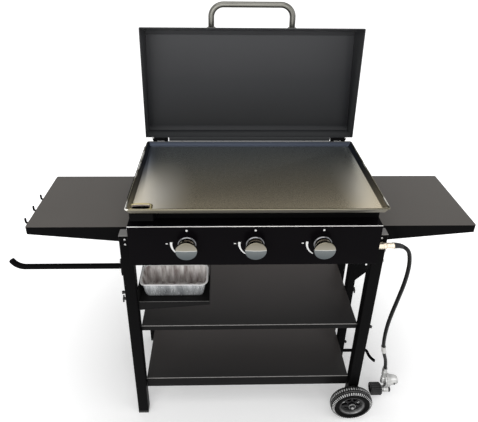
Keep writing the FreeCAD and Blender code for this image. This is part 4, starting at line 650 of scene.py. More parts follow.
def platePart():
    # one closed grid: each column is a ray from the slot's middle, each row a loop about it, from the slot's
    # lower edge up its wall, over the bead, along the floor, up the inner wall, over the rim, down the outer
    # wall and back under the floor. A loop's point is where the ray meets a rounded oblong; the slot and its
    # bead are ovals |x / a|^4 + |y / b|^4 = 1.
    slotX, slotY = plate["slot"]
    middle = plate["middle"]
    corners = np.array([[x * plate["halfWide"], middle + y * plate["halfDeep"]]
                        for x in (-1, 1) for y in (-1, 1)])
    toCorner = np.arctan2(corners[:, 1] - slotY, corners[:, 0] - slotX)
    spread = np.linspace(-0.25, 0.25, 33)[None] * np.array([1, 0.3, 0.1, 0.1])[:, None]
    dense = (toCorner[:, None] + spread).ravel()
    angle = np.unique(np.round(np.mod(np.concatenate([np.linspace(0, 2 * np.pi, 240, endpoint=False), dense]),
                                      2 * np.pi), 5))

    def rayLoop(halfWide, halfDeep, corner):
        loop = oblong(halfWide, halfDeep, corner, 24)[0] + np.array([0.0, middle])
        along = np.linspace(0.0, 1.0, 400, endpoint=False)[None, :, None]
        loop = (loop[:, None] * (1 - along) + np.roll(loop, -1, 0)[:, None] * along).reshape(-1, 2)
        turn = np.mod(np.arctan2(loop[:, 1] - slotY, loop[:, 0] - slotX), 2 * np.pi)
        order = np.argsort(turn)
        return np.stack([np.interp(angle, turn[order], loop[order, k], period=2 * np.pi) for k in (0, 1)], -1)

    def oval(grow):
        a, b = plate["slotHalf"][0] + grow, plate["slotHalf"][1] + grow
        reach = (np.abs(np.cos(angle) / a) ** 4 + np.abs(np.sin(angle) / b) ** 4) ** -0.25
        return np.stack([slotX + reach * np.cos(angle), slotY + reach * np.sin(angle)], -1)

    rim, floor = plate["rim"], plate["rim"] - plate["deep"]
    under = floor - plate["sheet"]
    bead, rise = plate["bead"], plate["beadRise"]
    rows = [(oval(0.4), under), (oval(0.0), under + 0.6), (oval(0.0), floor + rise * 0.6)]
    for t in np.linspace(0.0, 1.0, 7):
        rows.append((oval(bead * t), floor + rise * (0.6 + 0.4 * math.sin(math.pi * t)) if t < 0.5
                     else floor + rise * math.sin(math.pi * t)))
    half, deep = plate["halfWide"], plate["halfDeep"]
    wall, flare, round_ = plate["sheet"], plate["flare"], plate["corner"]

    def inner(height, extra=0.0):
        inset = wall + flare * (1 - (height - floor) / plate["deep"]) + extra
        return rayLoop(half - inset, deep - inset, max(round_ - 3.5, 2.0)), height

    rows += [inner(floor + lift, extra) for extra, lift in ((2.2, 0.0), (1.4, 0.25), (0.7, 0.8), (0.2, 1.8))]
    rows += [inner(floor + 4.5), inner(rim - 1.8, 0.0), inner(rim - 0.5, -0.5)]
    rows += [(rayLoop(half - 2.0, deep - 2.0, round_), rim),
             (rayLoop(half - 0.6, deep - 0.6, round_), rim - 0.5),
             (rayLoop(half, deep, round_), rim - 1.8)]
    outer = half - flare, deep - flare
    rows += [(rayLoop(outer[0] + 0.8, outer[1] + 0.8, round_ - 1), under + 1.8),
             (rayLoop(outer[0] - 0.3, outer[1] - 0.3, round_ - 1), under + 0.4),
             (rayLoop(outer[0] - 1.8, outer[1] - 1.8, round_ - 2), under)]
    grid = np.stack([np.concatenate([loop, np.full((len(loop), 1), height)], 1) for loop, height in rows])
    strips = [(grid[2:10], "beadSteel"), (grid[9:12], "griddleSteel"), (grid[11:16], "wallSteel"),
              (grid[15:20], "rimSteel"), (grid[19:21], "skirtSteel"),
              (grid[20:], "skirtSteel"), (np.concatenate([grid[-1:], grid[:3]]), "slotSteel")]
    return [(gridPart(strip, wrapColumns=True), finish) for strip, finish in strips]


addPiece("griddlePlate", platePart(), ["griddle_plate"], angle=30)
print("griddle plate made")

# Hood: rolled hem, handle and corner screws.
hood = {"hinge": (370.0, 949.0), "opening": 92.5, "halfWide": 344.0, "length": 374.0, "lean": 28.0,
        "front": 95.0,
        "overlap": 6.0, "rear": 8.0, "hem": 1.9, "screw": 3.2, "screwHeight": 2.0,
        "screwPlace": (319.5, 361.3, 957.6)}
handle = {"half": 127.0, "reach": 72.0, "radius": 9.5, "bend": 38.0, "level": 46.0, "foot": 14.0}


def openHood(points):
    # turns places on the closed hood, measured from the hinge line, to where it stands open
    points = np.asarray(points, float)
    turn = math.radians(hood["opening"])
    y = hood["hinge"][0] + points[..., 1] * math.cos(turn) + points[..., 2] * math.sin(turn)
    z = hood["hinge"][1] - points[..., 1] * math.sin(turn) + points[..., 2] * math.cos(turn)
    return np.stack([points[..., 0], y, z], -1)


def frontWall(height):
    # how far in front of the hinge the leaning front wall's outer face is, at a height over the hinge
    return hood["length"] - hood["lean"] * (height + hood["overlap"]) / (hood["front"] + hood["overlap"])


def onHood(part):
    return openHood(part[0]), part[1]


def hoodHem():
    # a thin rolled edge along the two side walls and the front wall
    x, low = hood["halfWide"] - 1.0, -hood["overlap"] + 0.4
    path = filleted([(-x, -hood["rear"] - 1.0, low), (-x, -hood["length"] + 1.0, low),
                     (x, -hood["length"] + 1.0, low), (x, -hood["rear"] - 1.0, low)], 4.0)
    return onHood(tubePart(path, hood["hem"] * 0.5 + 0.4, (0, 0, 1), 10))


def handleParts():
    level = handle["level"]
    end = hood["length"] + handle["reach"] - handle["radius"]
    seat = frontWall(level + handle["foot"])
    path = filleted([(-handle["half"], -seat + 4, level), (-handle["half"], -end, level),
                     (handle["half"], -end, level), (handle["half"], -seat + 4, level)], handle["bend"], 14)
    parts = [tubePart(path, handle["radius"], (0, 0, 1), 28)]
    r = handle["foot"]
    for side in (-1, 1):
        profile = filleted([(0, -4), (r, -4), (r, 9.5), (r - 2.6, 11.5), (handle["radius"], 12.2), (0, 12.2)],
                           [0.3, 1.2, 1.4, 0.6], 4)
        parts.append(turnedPart(profile, (side * handle["half"], -seat, level), (0, -1, 0), 40))
    for points, _ in parts:
        points[:, 1] = np.minimum(points[:, 1], -frontWall(points[:, 2]) + 1.0)
    return [onHood(part) for part in parts]


def screwHead(centre, axis, radius, height, cross=0.62, steps=40):
    # a low dome with a cross recess: height * sqrt(1 - (r / R)^2), less a pit where either the
    # across or the along distance is small and the other is within "cross" of the radius
    axis, across, along = squareTo(axis)
    share = np.concatenate([np.linspace(0, 0.95, 14), [0.985, 1.0, 1.0]])[:, None]
    angle = np.linspace(0, 2 * np.pi, steps, endpoint=False)[None, :]
    a, b = radius * share * np.cos(angle), radius * share * np.sin(angle)
    lift = height * np.sqrt(np.clip(1 - share ** 2 * 0.92, 0, 1)) * np.ones_like(angle)
    lift[-1] = -0.4
    arm, reach = radius * 0.17, radius * cross
    inside = ((np.abs(a) < arm) & (np.abs(b) < reach)) | ((np.abs(b) < arm) & (np.abs(a) < reach))
    lift = np.where(inside, lift - height * 0.45, lift)
    centre = np.asarray(centre, float)
    grid = centre + a[..., None] * across + b[..., None] * along + lift[..., None] * axis
    grid = np.concatenate([grid, np.broadcast_to(centre - 0.4 * axis, grid[-1:].shape)])
    return gridPart(grid, wrapColumns=True)


addPiece("hoodHem", [(hoodHem(), "hoodEnamel")], body="hood")
addPiece("hoodHandle", [(part, "stainless") for part in handleParts()], ["hood_handle"])
acrossHood, *besideHinge = hood["screwPlace"]
cornerScrews = [screwHead((side * acrossHood, *besideHinge), (0, -1, 0), hood["screw"], hood["screwHeight"])
                for side in (-1, 1)]
addPiece("hoodScrews", [(part, "zinc") for part in cornerScrews], body="hood")
print("hood dressed")

# Foil pan.
pan = {"middle": (-241.0, 142.0, 528.0), "half": (106.0, 44.0), "height": 60.0, "taper": 15.0, "rim": 5.0,
       "corner": 19.0, "foil": 0.7, "rib": 10.0, "ribDepth": 0.7, "crease": 5.2, "creaseDepth": 1.1}


def foilPan():
    # loops of one rounded oblong, each with its own inset and height; the walls move out and in by
    # a low rib every "rib" along the sides and by close creases round the corners
    steps, count = 24, 520
    rim, taper, high, foil = pan["rim"], pan["taper"], pan["height"], pan["foil"]
    down = np.linspace(0.0, 1.0, 9)

    def wallRow(share, thick=0.0):
        return (taper - (taper - rim) * share + thick, 1.2 + (high - 3.6) * share,
                1.0 - 0.5 * abs(2 * share - 1) ** 6)

    rows = [(pan["half"][0] * 0.9, 0.0, 0.0), (taper + 6.0, 0.0, 0.15), (taper + 1.0, 0.3, 0.3)]
    rows += [wallRow(share) for share in down]
    rows += [(rim - 0.4, high - 1.6, 0.15), (1.9, high - 1.7, 0.0), (0.8, high - 1.9, 0.0),
             (0.05, high - 1.4, 0.0),
             (0.1, high - 0.6, 0.0), (0.9, high - 0.05, 0.0), (1.9, high - 0.4, 0.0), (2.6, high - 0.9, 0.0),
             (rim - 0.9, high - 0.9, 0.05), (rim + 0.1, high - 0.5, 0.1), (rim + 0.7, high - 1.2, 0.2)]
    rows += [wallRow(share, foil) for share in down[::-1]]
    rows += [(taper + 1.6, foil + 0.3, 0.3), (taper + 6.0, foil, 0.15), (pan["half"][0] * 0.9, foil, 0.0)]
    inset, height, depth = (np.array(column) for column in zip(*rows))
    middle = inset > 50
    inset = np.where(middle, 30.0, inset)
    loops = oblong(pan["half"][0] - inset, pan["half"][1] - inset,
                   np.clip(pan["corner"] - inset * 0.35, 8, 19), steps)
    closed = np.concatenate([loops, loops[:, :1]], 1)
    stretch = lengthsAlong(closed[4])
    place = np.linspace(0.0, stretch[-1], count, endpoint=False)
    spot = np.clip(np.searchsorted(stretch, place, side="right") - 1, 0, len(stretch) - 2)
    share = ((place - stretch[spot]) / np.diff(stretch)[spot])[None, :, None]
    even = closed[:, spot] * (1 - share) + closed[:, spot + 1] * share
    outward = unit(np.roll(even, -1, 1) - np.roll(even, 1, 1))[..., ::-1] * np.array([1.0, -1.0])
    corner = np.clip(1.6 - np.abs(np.abs(even[4, :, 0]) - 84) / 9.0, 0, 1) * np.clip(
        1.6 - np.abs(np.abs(even[4, :, 1]) - 24) / 9.0, 0, 1)
    rib = np.exp(-((np.mod(place, pan["rib"]) - pan["rib"] / 2) / 1.3) ** 2) * pan["ribDepth"] * (1 - corner)
    crease = np.sin(2 * np.pi * place / pan["crease"]) * pan["creaseDepth"] * corner
    crumple = 0.25 * np.sin(place / 3.1) * np.sin(place / 7.7 + 1.0)
    moved = even + outward * (rib + crease + crumple)[None, :, None] * depth[:, None, None]
    grid = np.concatenate([moved, np.broadcast_to(height[:, None, None], moved.shape[:2] + (1,))], -1)
    ends = np.zeros((1, count, 3))
    grid = np.concatenate([ends, grid, ends + np.array([0, 0, foil])]) + np.array(pan["middle"])
    return (gridPart(grid[:13], wrapColumns=True), gridPart(grid[12:25], wrapColumns=True),
            gridPart(grid[24:], wrapColumns=True))


outsideWall, rolledRim, insideWall = foilPan()
addPiece("foilPan", [(outsideWall, "foilOutside"), (rolledRim, "foilRim"), (insideWall, "foilInside")],
         ["grease_pan"], angle=50)
print("pan pleated")

# Control panel: dial marks, bezels and knobs.
dial = {"level": 794.0, "pitch": 189.0, "panel": 48.0, "dotRise": 46.0, "dot": 3.1, "dash": (-56.0, 6.0, 1.4),
        "arcRadius": 44.0, "arcFrom": 172.0, "arcTo": 236.0, "arcWide": (3.4, 1.3), "ink": 0.22}
knob = {"face": 15.7, "radius": 30.0, "cap": 8.5, "skirt": 24.0, "back": 42.5, "dome": 1.5}
bezel = {"radius": 26.0, "depth": 5.0, "hole": 8.5}


def inkPart(line, halfWidth):
    # a flat stroke on the panel: the line offset by its half width to both sides, lifted by the ink's height
    line = np.asarray(line, float)
    halfWidth = np.broadcast_to(np.asarray(halfWidth, float), (len(line),))[:, None]
    slope = unit(np.gradient(line, axis=0))
    side = np.stack([-slope[:, 1], slope[:, 0]], -1) * halfWidth
    front, back = dial["panel"] - dial["ink"], dial["panel"] + 0.05
    loops = [(line - side, back), (line - side, front), (line + side, front), (line + side, back)]
    grid = np.stack([np.stack([xz[:, 0], np.full(len(xz), y), xz[:, 1]], -1) for xz, y in loops])
    grid = np.concatenate([grid[:, :1], grid, grid[:, -1:]], 1)
    grid[:, 0], grid[:, -1] = grid[:, 0].mean(0), grid[:, -1].mean(0)
    return gridPart(grid, wrapRows=True)


def dialMarks(x):
    z = dial["level"]
    turn = np.radians(np.linspace(dial["arcFrom"], dial["arcTo"], 26))
    arc = np.stack([x + dial["arcRadius"] * np.cos(turn), z + dial["arcRadius"] * np.sin(turn)], -1)
    start, length, half = dial["dash"]
    dash = np.stack([np.linspace(x + start - length / 2, x + start + length / 2, 4), np.full(4, z + 1.0)], -1)
    disc = turnedPart([(0, 0.05), (dial["dot"], 0.05), (dial["dot"], -dial["ink"]), (0, -dial["ink"])],
                      (x, dial["panel"], z + dial["dotRise"]), (0, 1, 0), 28)
    return [disc, inkPart(dash, half), inkPart(arc, np.linspace(*dial["arcWide"], 26))]


def knobParts(x):
    # a narrow skirt with a waist, and a wide cap whose face is a shallow dome
    depth = knob["back"] - knob["face"]
    r, cap = knob["radius"], knob["cap"]
    skirt = filleted([(0, 0), (knob["skirt"], 0), (knob["skirt"], 5), (knob["skirt"] - 2.4, 9),
                      (knob["skirt"] - 1.6, depth - cap), (r - 1.4, depth - cap - 0.6),
                      (r, depth - cap + 1.6),
                      (r - 0.3, depth - 2.2), (r - 1.8, depth - knob["dome"])],
                      [0.8, 2, 1.5, 1, 0.6, 0.8, 1.2], 5)
    share = np.linspace(1.0, 0.0, 14)
    face = np.stack([(r - 2.4) * share, depth - knob["dome"] * share ** 2], -1)
    return [turnedPart(np.concatenate([skirt, face]), (x, knob["back"], dial["level"]), (0, -1, 0), 72)]


def bezelPart(x):
    r, depth, hole = bezel["radius"], bezel["depth"], bezel["hole"]
    profile = filleted([(hole, 0), (r, 0), (r, depth * 0.45), (r - 2.5, depth * 0.8), (r - 4.5, depth),
                        (hole + 2, depth), (hole, depth - 1.5), (hole, 0)], [0.4, 0.9, 1.0, 0.8, 0.8, 0.6], 4)
    return turnedPart(profile, (x, dial["panel"], dial["level"]), (0, -1, 0), 64)


knobPlaces = {"left": -dial["pitch"], "center": 0.0, "right": dial["pitch"]}
for label, x in knobPlaces.items():
    addPiece("knob_%s_cap" % label, [(part, "chrome") for part in knobParts(x)], ["knob_" + label], angle=50)
addPiece("knobBezels", [(bezelPart(x), "darkChrome") for x in knobPlaces.values()], ["knob_bezels"])
addPiece("dialMarks", [(part, "whiteInk") for x in knobPlaces.values() for part in dialMarks(x)],
         body="cart")
print("knobs and dials made")

# Wheels.
wheel = {"x": 361.5, "z": 73.0, "front": 60.0, "rear": 405.0, "radius": 73.0, "half": 16.0, "rim": 43.0,
         "boss": 2.5, "teeth": 54, "toothDepth": 1.7, "grooveDepth": 1.8, "spokes": 6,
         "legSides": {-1.0: 107.0, 1.0: 358.0}}


def tyreParts(y, out):
    # a closed section of (distance along the axle, radius) turned about it. It moves along its own
    # outward direction: teeth = a squared sine of the angle, once on the crown's middle and once, half a
    # tooth further, on each shoulder; grooves = bands of the section. Raised teeth and ribs are a part of
    # their own, for their paler finish: painted highlight on the tread.
    half, crown, rim = wheel["half"], wheel["radius"], wheel["rim"]
    corners = [(0, rim), (half - 5, rim), (half - 2, rim + 3.5), (half, rim + 8.5), (half, crown - 14.5),
               (half - 1.2, crown - 8.5), (half - 3.8, crown - 3.2), (half - 8.4, crown - 0.4), (0, crown)]
    quarter = filleted(corners, [1.5, 1.5, 2.5, 2.5, 2.5, 2.0, 2.0], 5)
    section = np.concatenate([quarter, quarter[-2:0:-1] * np.array([-1.0, 1.0])])
    loop = np.concatenate([section, section[:1]])
    stretch = lengthsAlong(loop)
    place = np.linspace(0.0, stretch[-1], 116, endpoint=False)
    section = np.stack([np.interp(place, stretch, loop[:, k]) for k in (0, 1)], -1)
    slope = unit(np.roll(section, -1, 0) - np.roll(section, 1, 0))
    outward = np.stack([slope[:, 1], -slope[:, 0]], -1)
    outward *= np.sign(np.sum(outward * (section - np.array([0.0, crown - 15])), -1, keepdims=True))
    angle = np.linspace(0.0, 2 * np.pi, wheel["teeth"] * 8, endpoint=False)
    radius, height = section[:, 1], np.abs(section[:, 0])
    tread = radius > crown - 12

    def band(low, high):
        return (tread & (height > low) & (height < high))[:, None]

    square = np.clip(2.2 * np.sin(wheel["teeth"] * angle) + 0.4, -1, 1)[None] * 0.5 + 0.5
    middleTeeth, shoulderTeeth = band(-1, 3.8), band(half - 4.6, half - 0.4)
    groove = band(3.8, 6.0) | band(10.2, 11.4)
    lines = np.exp(-((radius - crown + 15.5) / 0.7) ** 2) + np.exp(-((radius - crown + 20.0) / 0.7) ** 2)
    depth = (middleTeeth * (1 - square) + shoulderTeeth * (1 - np.roll(square, 4, 1))) * wheel["toothDepth"]
    depth = depth + groove * wheel["grooveDepth"] + (lines * (height > half - 3) * 0.7)[:, None]
    moved = section[:, None] - outward[:, None] * depth[..., None]
    axis = np.array([0.0, out, 0.0])
    circle = np.stack([np.cos(angle), np.zeros_like(angle), np.sin(angle)], -1)
    grid = (np.array([wheel["x"], y, wheel["z"]]) + moved[..., :1] * axis + moved[..., 1:] * circle[None])
    points, faces = gridPart(grid, wrapRows=True, wrapColumns=True)
    teeth = (middleTeeth & (square > 0.6)) | (shoulderTeeth & (np.roll(square, 4, 1) > 0.6))
    ribs = band(6.0, 10.2) & (square > -1)
    raised, smooth = ((field & np.roll(field, -1, 0) & np.roll(field, -1,
                                                               1)).ravel() for field in (teeth, ribs))
    return [((points, faces[~raised & ~smooth]), "tyreRubber"), ((points, faces[raised]), "litToothRubber"),
            ((points, faces[smooth]), "litRibRubber")]


def rimParts(y, out):
    # a barrel with a raised lip on each side, a hub with a collar, and spokes whose width and depth
    # follow a waist between hub and barrel; the barrel's inside and the collar take a paler finish, a painted
    # highlight
    centre, axis = (wheel["x"], y, wheel["z"]), (0, out, 0)
    r, half, boss = wheel["rim"], wheel["half"], wheel["half"] + wheel["boss"]
    lip = [(r - 0.1, 11.4), (r + 2.4, 12.8), (r + 1.6, 14.6), (r - 1.8, 13.8)]
    outside = filleted([(r - 1.8, -13.8)] + [(a, -b) for a, b in lip[-2::-1]] + lip,
                       [0.8, 1, 1, 1, 1, 0.8], 4)
    inside = filleted([(r - 1.8, 13.8), (r - 4.4, 9.5), (r - 4.4, -9.5), (r - 1.8, -13.8)], [2, 2], 5)
    dish = filleted([(r - 4.2, 4.5), (r - 9.5, 3.6), (r - 11, 2.2), (r - 11, -2.2), (r - 9.5, -3.6),
                     (r - 4.2, -4.5)],
                    0.8, 3)
    hub = filleted([(5.3, -boss), (11.5, -boss), (12.6, 1.5 - boss), (12.9, 0), (12.9, half - 4),
                    (11.4, half - 1.6),
                    (5.3, half - 1.6), (5.3, -boss)], [0.8, 0.8, 1, 1, 1.0, 0.6], 4)
    collar = filleted([(12.4, half - 3.6), (12.6, half - 1.2), (11.6, half), (10.2, half), (9.8, half - 1.4),
                       (9.8, half - 3.6), (12.4, half - 3.6)], 0.4, 3)[:-1]
    share = np.linspace(0.0, 1.0, 13)
    reach = 11.0 + (r - 19.0) * share
    wide = 4.4 + 3.4 * (2 * share - 1) ** 4 + 0.6 * (1 - share)
    deep = 5.0 + 3.0 * (1 - share) ** 2 + 0.8 * share ** 4
    angle = np.linspace(0, 2 * np.pi, 20, endpoint=False)
    a, b = np.cos(angle), np.sin(angle)
    norm = (np.abs(a) ** 3 + np.abs(b) ** 3) ** (-1 / 3)
    grid = np.stack([wide[:, None] * (a * norm)[None], deep[:, None] * (b * norm)[None],
                     np.broadcast_to(reach[:, None], (13, 20))], -1)
    grid = np.concatenate([grid[:1] * [0, 0, 1], grid, grid[-1:] * [0, 0, 1]])
    grid = grid * np.array([1.0, out, 1.0]) + np.array(centre)
    spoke = gridPart(grid, wrapColumns=True)
    spokes = copiesAround(spoke, centre, (0, 1, 0), wheel["spokes"])
    return [(turnedPart(outside, centre, axis, 96), "glossPlastic"),
            (turnedPart(inside, centre, axis, 96), "rimHighlight"),
            (turnedPart(dish, centre, axis, 96, closed=True), "glossPlastic"),
            (turnedPart(hub, centre, axis, 48), "glossPlastic"), (spokes, "glossPlastic"),
            (turnedPart(collar, centre, axis, 48, closed=True), "rimHighlight")]


def hexPart(centre, axis, flats, height, dome=0.6):
    # a hexagonal head: its radius at an angle is flats / cos of the angle from the nearest flat
    rows = [(0.0, 0.0), (1.0, 0.0), (1.0, height * 0.82), (0.93, height * 0.95), (0.86, height),
            (0.0, height + dome)]

    def sixSides(profile, angle):
        lean = np.mod(angle, np.pi / 3) - np.pi / 6
        shape = 1.0 / np.cos(lean)
        round_ = np.clip((profile[:, :1] / flats - 0.86) / 0.1, 0, 1)
        return 1.0 + (shape[None] - 1.0) * round_

    return turnedPart([(share * flats, z) for share, z in rows], centre, axis, 72, sixSides)


def axleParts(y, out):
    # a bolt through the leg: a washer and a hexagonal head at the hub, the shank, and a nut on the leg
    x, z = wheel["x"], wheel["z"]
    face = y + out * wheel["half"]
    leg = wheel["legSides"][out]
    length = abs(face + out * 0.5 - leg)
    shank = turnedPart([(0, 0), (4.95, 0), (4.95, length), (0, length)], (x, leg, z), (0, out, 0), 32)
    washer = turnedPart(filleted([(0, 0), (9, 0), (9, 1.6), (5, 1.6), (0, 1.6)], [0.4, 0.4, 0.2], 3),
                        (x, face + out * 0.5, z), (0, out, 0), 40)
    head = hexPart((x, face + out * 2.1, z), (0, out, 0), 4.6, 3.2, 0.6)
    nut = hexPart((x, leg, z), (0, -out, 0), 7.6, 5.4, 0.3)
    return [(shank, "zinc"), (washer, "glossPlastic"), (head, "zinc"), (nut, "zinc")]


for label, y, out in (("front", wheel["front"], -1.0), ("rear", wheel["rear"], 1.0)):
    addPiece("tyre_" + label, tyreParts(y, out), ["wheel_%s_tyre" % label], angle=45)
    addPiece("rim_" + label, rimParts(y, out), ["wheel_%s_rim" % label])
    addPiece("axle_" + label, axleParts(y, out), ["wheel_%s_axle" % label])
print("wheels made")

# Towel bar, tool hooks and stay bar.
towelBar = {"height": 672.0, "y": 93.0, "wall": -390.0, "radius": 8.0, "straight": 280.9, "bend": 40.0,
            "turn": 70.0}
hooks = {"first": 150.0, "pitch": 57.5, "wall": -663.0, "low": 785.0, "high": 803.0, "out": -675.0,
         "radius": 3.0}
stayBar = {"post": 375.0, "run": 89.0, "corner": 8.0, "bend": 46.0, "turn": 52.0, "y": 240.0, "z": 90.0,
           "radius": 5.5}


def towelBarParts():
    y, z = towelBar["y"], towelBar["height"]
    turn, bend = np.radians(np.linspace(0.0, towelBar["turn"], 18)), towelBar["bend"]
    wall = towelBar["wall"]
    x = np.concatenate([[wall + 2], wall - towelBar["straight"] - bend * np.sin(turn)])
    path = np.stack([x, np.full(19, y), np.concatenate([[z], z + bend * (1 - np.cos(turn))])], -1)
    seat = softBox((11, 30), 4, 5, 0.8, (wall + 4, y, z), (0, 1, 0), (0, 0, 1), (-1, 0, 0))
    return [tubePart(path, towelBar["radius"], (0, 1, 0), 28, 0.3), seat]


def hookPart(index):
    y = hooks["first"] + index * hooks["pitch"]
    path = filleted([(hooks["wall"] + 1, y, hooks["low"]), (hooks["out"], y, hooks["low"]),
                     (hooks["out"], y, hooks["high"])], 6.0, 10)
    return tubePart(path, hooks["radius"], (0, 1, 0), 16, 0.8)


def stayPart():
    # a straight run, a quarter circle away from it, and an arc the other way that would cradle the gas bottle
    y, z, corner, bend = stayBar["y"], stayBar["z"], stayBar["corner"], stayBar["bend"]
    end = stayBar["post"] + stayBar["run"]
    first = np.linspace(math.pi / 2, 0.0, 9)
    second = np.linspace(math.pi, math.pi + math.radians(stayBar["turn"]), 14)[1:]
    x = np.concatenate([[stayBar["post"] - 2, end - 20], end + corner * np.cos(first),
                        end + corner + bend + bend * np.cos(second)])
    across = np.concatenate([[y, y], y - corner + corner * np.sin(first), y - corner + bend * np.sin(second)])
    return tubePart(np.stack([x, across, np.full(len(x), z)], -1), stayBar["radius"], (0, 0, 1), 24, 0.4)


addPiece("towelBar", [(part, "blackEnamel") for part in towelBarParts()], ["towel_bar"])
addPiece("toolHooks", [(hookPart(index), "blackEnamel") for index in range(3)], ["tool_hooks"])
addPiece("stayBar", [(stayPart(), "blackEnamel")], ["tank_stay_bar"])
print("bars and hooks made")

# Screws and bolts.
fastener = {"thumb": 9.0, "thumbLength": 12.0, "wingReach": 11.8, "wingThick": (1.2, 0.75),
            "wingMiddle": (9.0, 0.15),
            "wingTall": (2.3, 0.6), "washer": (6.0, 0.9), "bolt": (4.7, 3.7), "screw": 3.5,
            "screwHeight": 2.0,
            "screwPlace": (368.5, 79.0), "screwLevels": (783.0, 765.5)}
thumbPlaces = {"tray_thumb_screws": [(-386, 93, 566, -1, 35), (-386, 93, 540, -1, -25)],
               "shelf_thumb_screws": [(386, 93, 405, 1, 30), (375, 240, 405, 1, -20), (375, 240, 139, 1, 30)]}
boltPlaces = [(-390, 93, 692, -1), (-390, 93, 652, -1), (386, 86, 733, 1), (386, 86, 693, 1),
              (-390, 128, 780, -1), (-390, 366, 780, -1), (390, 128, 780, 1), (390, 366, 780, 1)]


def thumbScrew(x, y, z, side, lean):
    # a shank with a collar, and two wings, turned by "lean", whose half width swells from the shank to
    # the tip
    r, length = fastener["thumb"] * 0.6, fastener["thumbLength"]
    profile = filleted([(0, -1), (r, -1), (r, 1.6), (r * 0.78, 3), (r * 0.78, 6.2), (r * 0.98, 8.5),
                        (r * 0.9, length - 0.6), (0, length)], [0.2, 0.5, 0.5, 0.8, 0.8, 0.6], 4)
    neck = turnedPart(profile, (x, y, z), (side, 0, 0), 28)
    share = np.linspace(-1.0, 1.0, 25)
    across = fastener["wingReach"] * share
    (thin, swell), (near, forward), (low, rise) = (fastener[key] for key in ("wingThick", "wingMiddle",
                                                                             "wingTall"))
    thick = thin + swell * np.abs(share) ** 1.5
    end = np.sqrt(np.clip(1 - np.abs(share) ** 8, 0.0, 1.0))
    middle = near + forward * np.abs(share)
    tall = (low + rise * np.abs(share)) * end
    angle = np.linspace(0, 2 * np.pi, 20, endpoint=False)
    flat, up = (thick * end)[:, None] * np.sin(angle), across[:, None] + 0 * angle
    c, s = math.cos(math.radians(lean)), math.sin(math.radians(lean))
    grid = np.stack([x + side * (middle[:, None] + tall[:, None] * np.cos(angle)), y + flat * c - up * s,
                     z + flat * s + up * c], -1)
    return [neck, gridPart(grid, wrapColumns=True)]


def boltParts(x, y, z, side):
    # a washer and a hexagonal head
    r, thick = fastener["washer"]
    profile = filleted([(0, -0.2), (r, -0.2), (r, thick), (0, thick)], [0.1, 0.3], 3)
    return [turnedPart(profile, (x, y, z), (side, 0, 0), 36),
            hexPart((x, y, z), (side, 0, 0), *fastener["bolt"], 0.3)]


for nodeName, places in thumbPlaces.items():
    addPiece(nodeName + "_made", [(part, "blackPlastic") for place in places for part in thumbScrew(*place)],
             [nodeName])
addPiece("legBolts", [(part, "zinc") for place in boltPlaces for part in boltParts(*place)], ["leg_bolts"])
screwX, screwY = fastener["screwPlace"]
frontScrews = [screwHead((side * screwX, screwY, z), (0, -1, 0), fastener["screw"], fastener["screwHeight"])
               for side in (-1, 1) for z in fastener["screwLevels"]]
addPiece("frontScrews", [(part, "zinc") for part in frontScrews], ["front_screws"])
print("screws made")

# Gas fittings.
ferrule = {"upper": (371.0, 66.0, 768.0), "upperLength": 30.0, "lower": (495.0, 128.0, 133.7),
           "lowerLength": 18.0,
           "radius": 9.0}
sleeve = {"length": 34.0, "inside": 6.9, "outside": 8.0}
regulator = {"stem": (495.0, 128.0, 87.7), "case": 499.0, "low": 37.7, "chamber": 502.0, "inlet": 491.0,
             "cap": 520.8,
             "vent": (33.0, 16.2)}
nut = {"x": 497.0, "y": 128.0, "z": 37.7, "bore": 13.325, "radius": 20.5, "ribs": 18, "ribDepth": 1.7,
       "pitch": 2.0}


def ferrulePart(centre, axis, length):
    # a round crimp: a collar, pressed rings and a rolled mouth
    r = ferrule["radius"]
    rings = [(r - 0.9 - 0.7 * (k % 2), length * (0.38 + 0.075 * k)) for k in range(7)]
    corners = [(0, 0), (r, 0), (r, length * 0.26), (r - 1.4, length * 0.32)] + rings
    corners += [(r - 0.2, length * 0.9), (r - 0.6, length), (6.0, length), (0, length - 0.5)]
    return turnedPart(filleted(corners, 0.35, 4), centre, axis, 40)


def hollowTube(path, outer, inner, normal, sides=28):
    # one closed sleeve: a ring of the outer radius at every place, and back along the inner radius
    path = np.asarray(path, float)
    tangent = unit(np.gradient(path, axis=0))
    ring = ringsAcross(tangent, normal, sides)
    out = path[:, None] + np.asarray(outer)[:, None, None] * ring
    back = (path[:, None] + np.asarray(inner)[:, None, None] * ring)[::-1]
    return gridPart(np.concatenate([out, back]), wrapRows=True, wrapColumns=True)


def alongHose(start, end, count):
    # evenly spaced places on the hose's own line between two distances from its upper end
    total, place = lengthsAlong(hoseRoute), np.linspace(start, end, count)
    return np.stack([np.interp(place, total, hoseRoute[:, k]) for k in range(3)], -1)


def distanceTo(place):
    # how far along the hose's line it comes nearest to a place
    gaps = np.linalg.norm(np.diff(hoseRoute, axis=0), axis=1)
    nearest = int(np.argmin(np.linalg.norm(hoseRoute - np.asarray(place), axis=1)))
    return float(np.sum(gaps[:nearest]))


low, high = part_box("hose_sleeve")
sleeveMiddle = (np.asarray(low) + np.asarray(high)) * 500.0 - np.array(cart["shift"])
middleAt = distanceTo(sleeveMiddle)
sleevePath = alongHose(middleAt - sleeve["length"] / 2, middleAt + sleeve["length"] / 2, 12)
sleeveOut = sleeve["outside"] - 0.35 * np.array([1.0] + [0.0] * 10 + [1.0])
reliefPath = alongHose(0.0, gasHose["reliefLength"], 14)
reliefShare = np.linspace(0.0, 1.0, 14)
reliefOut = gasHose["reliefRadius"] - 1.9 * reliefShare - 0.45 * (np.mod(np.arange(14), 3) == 2)


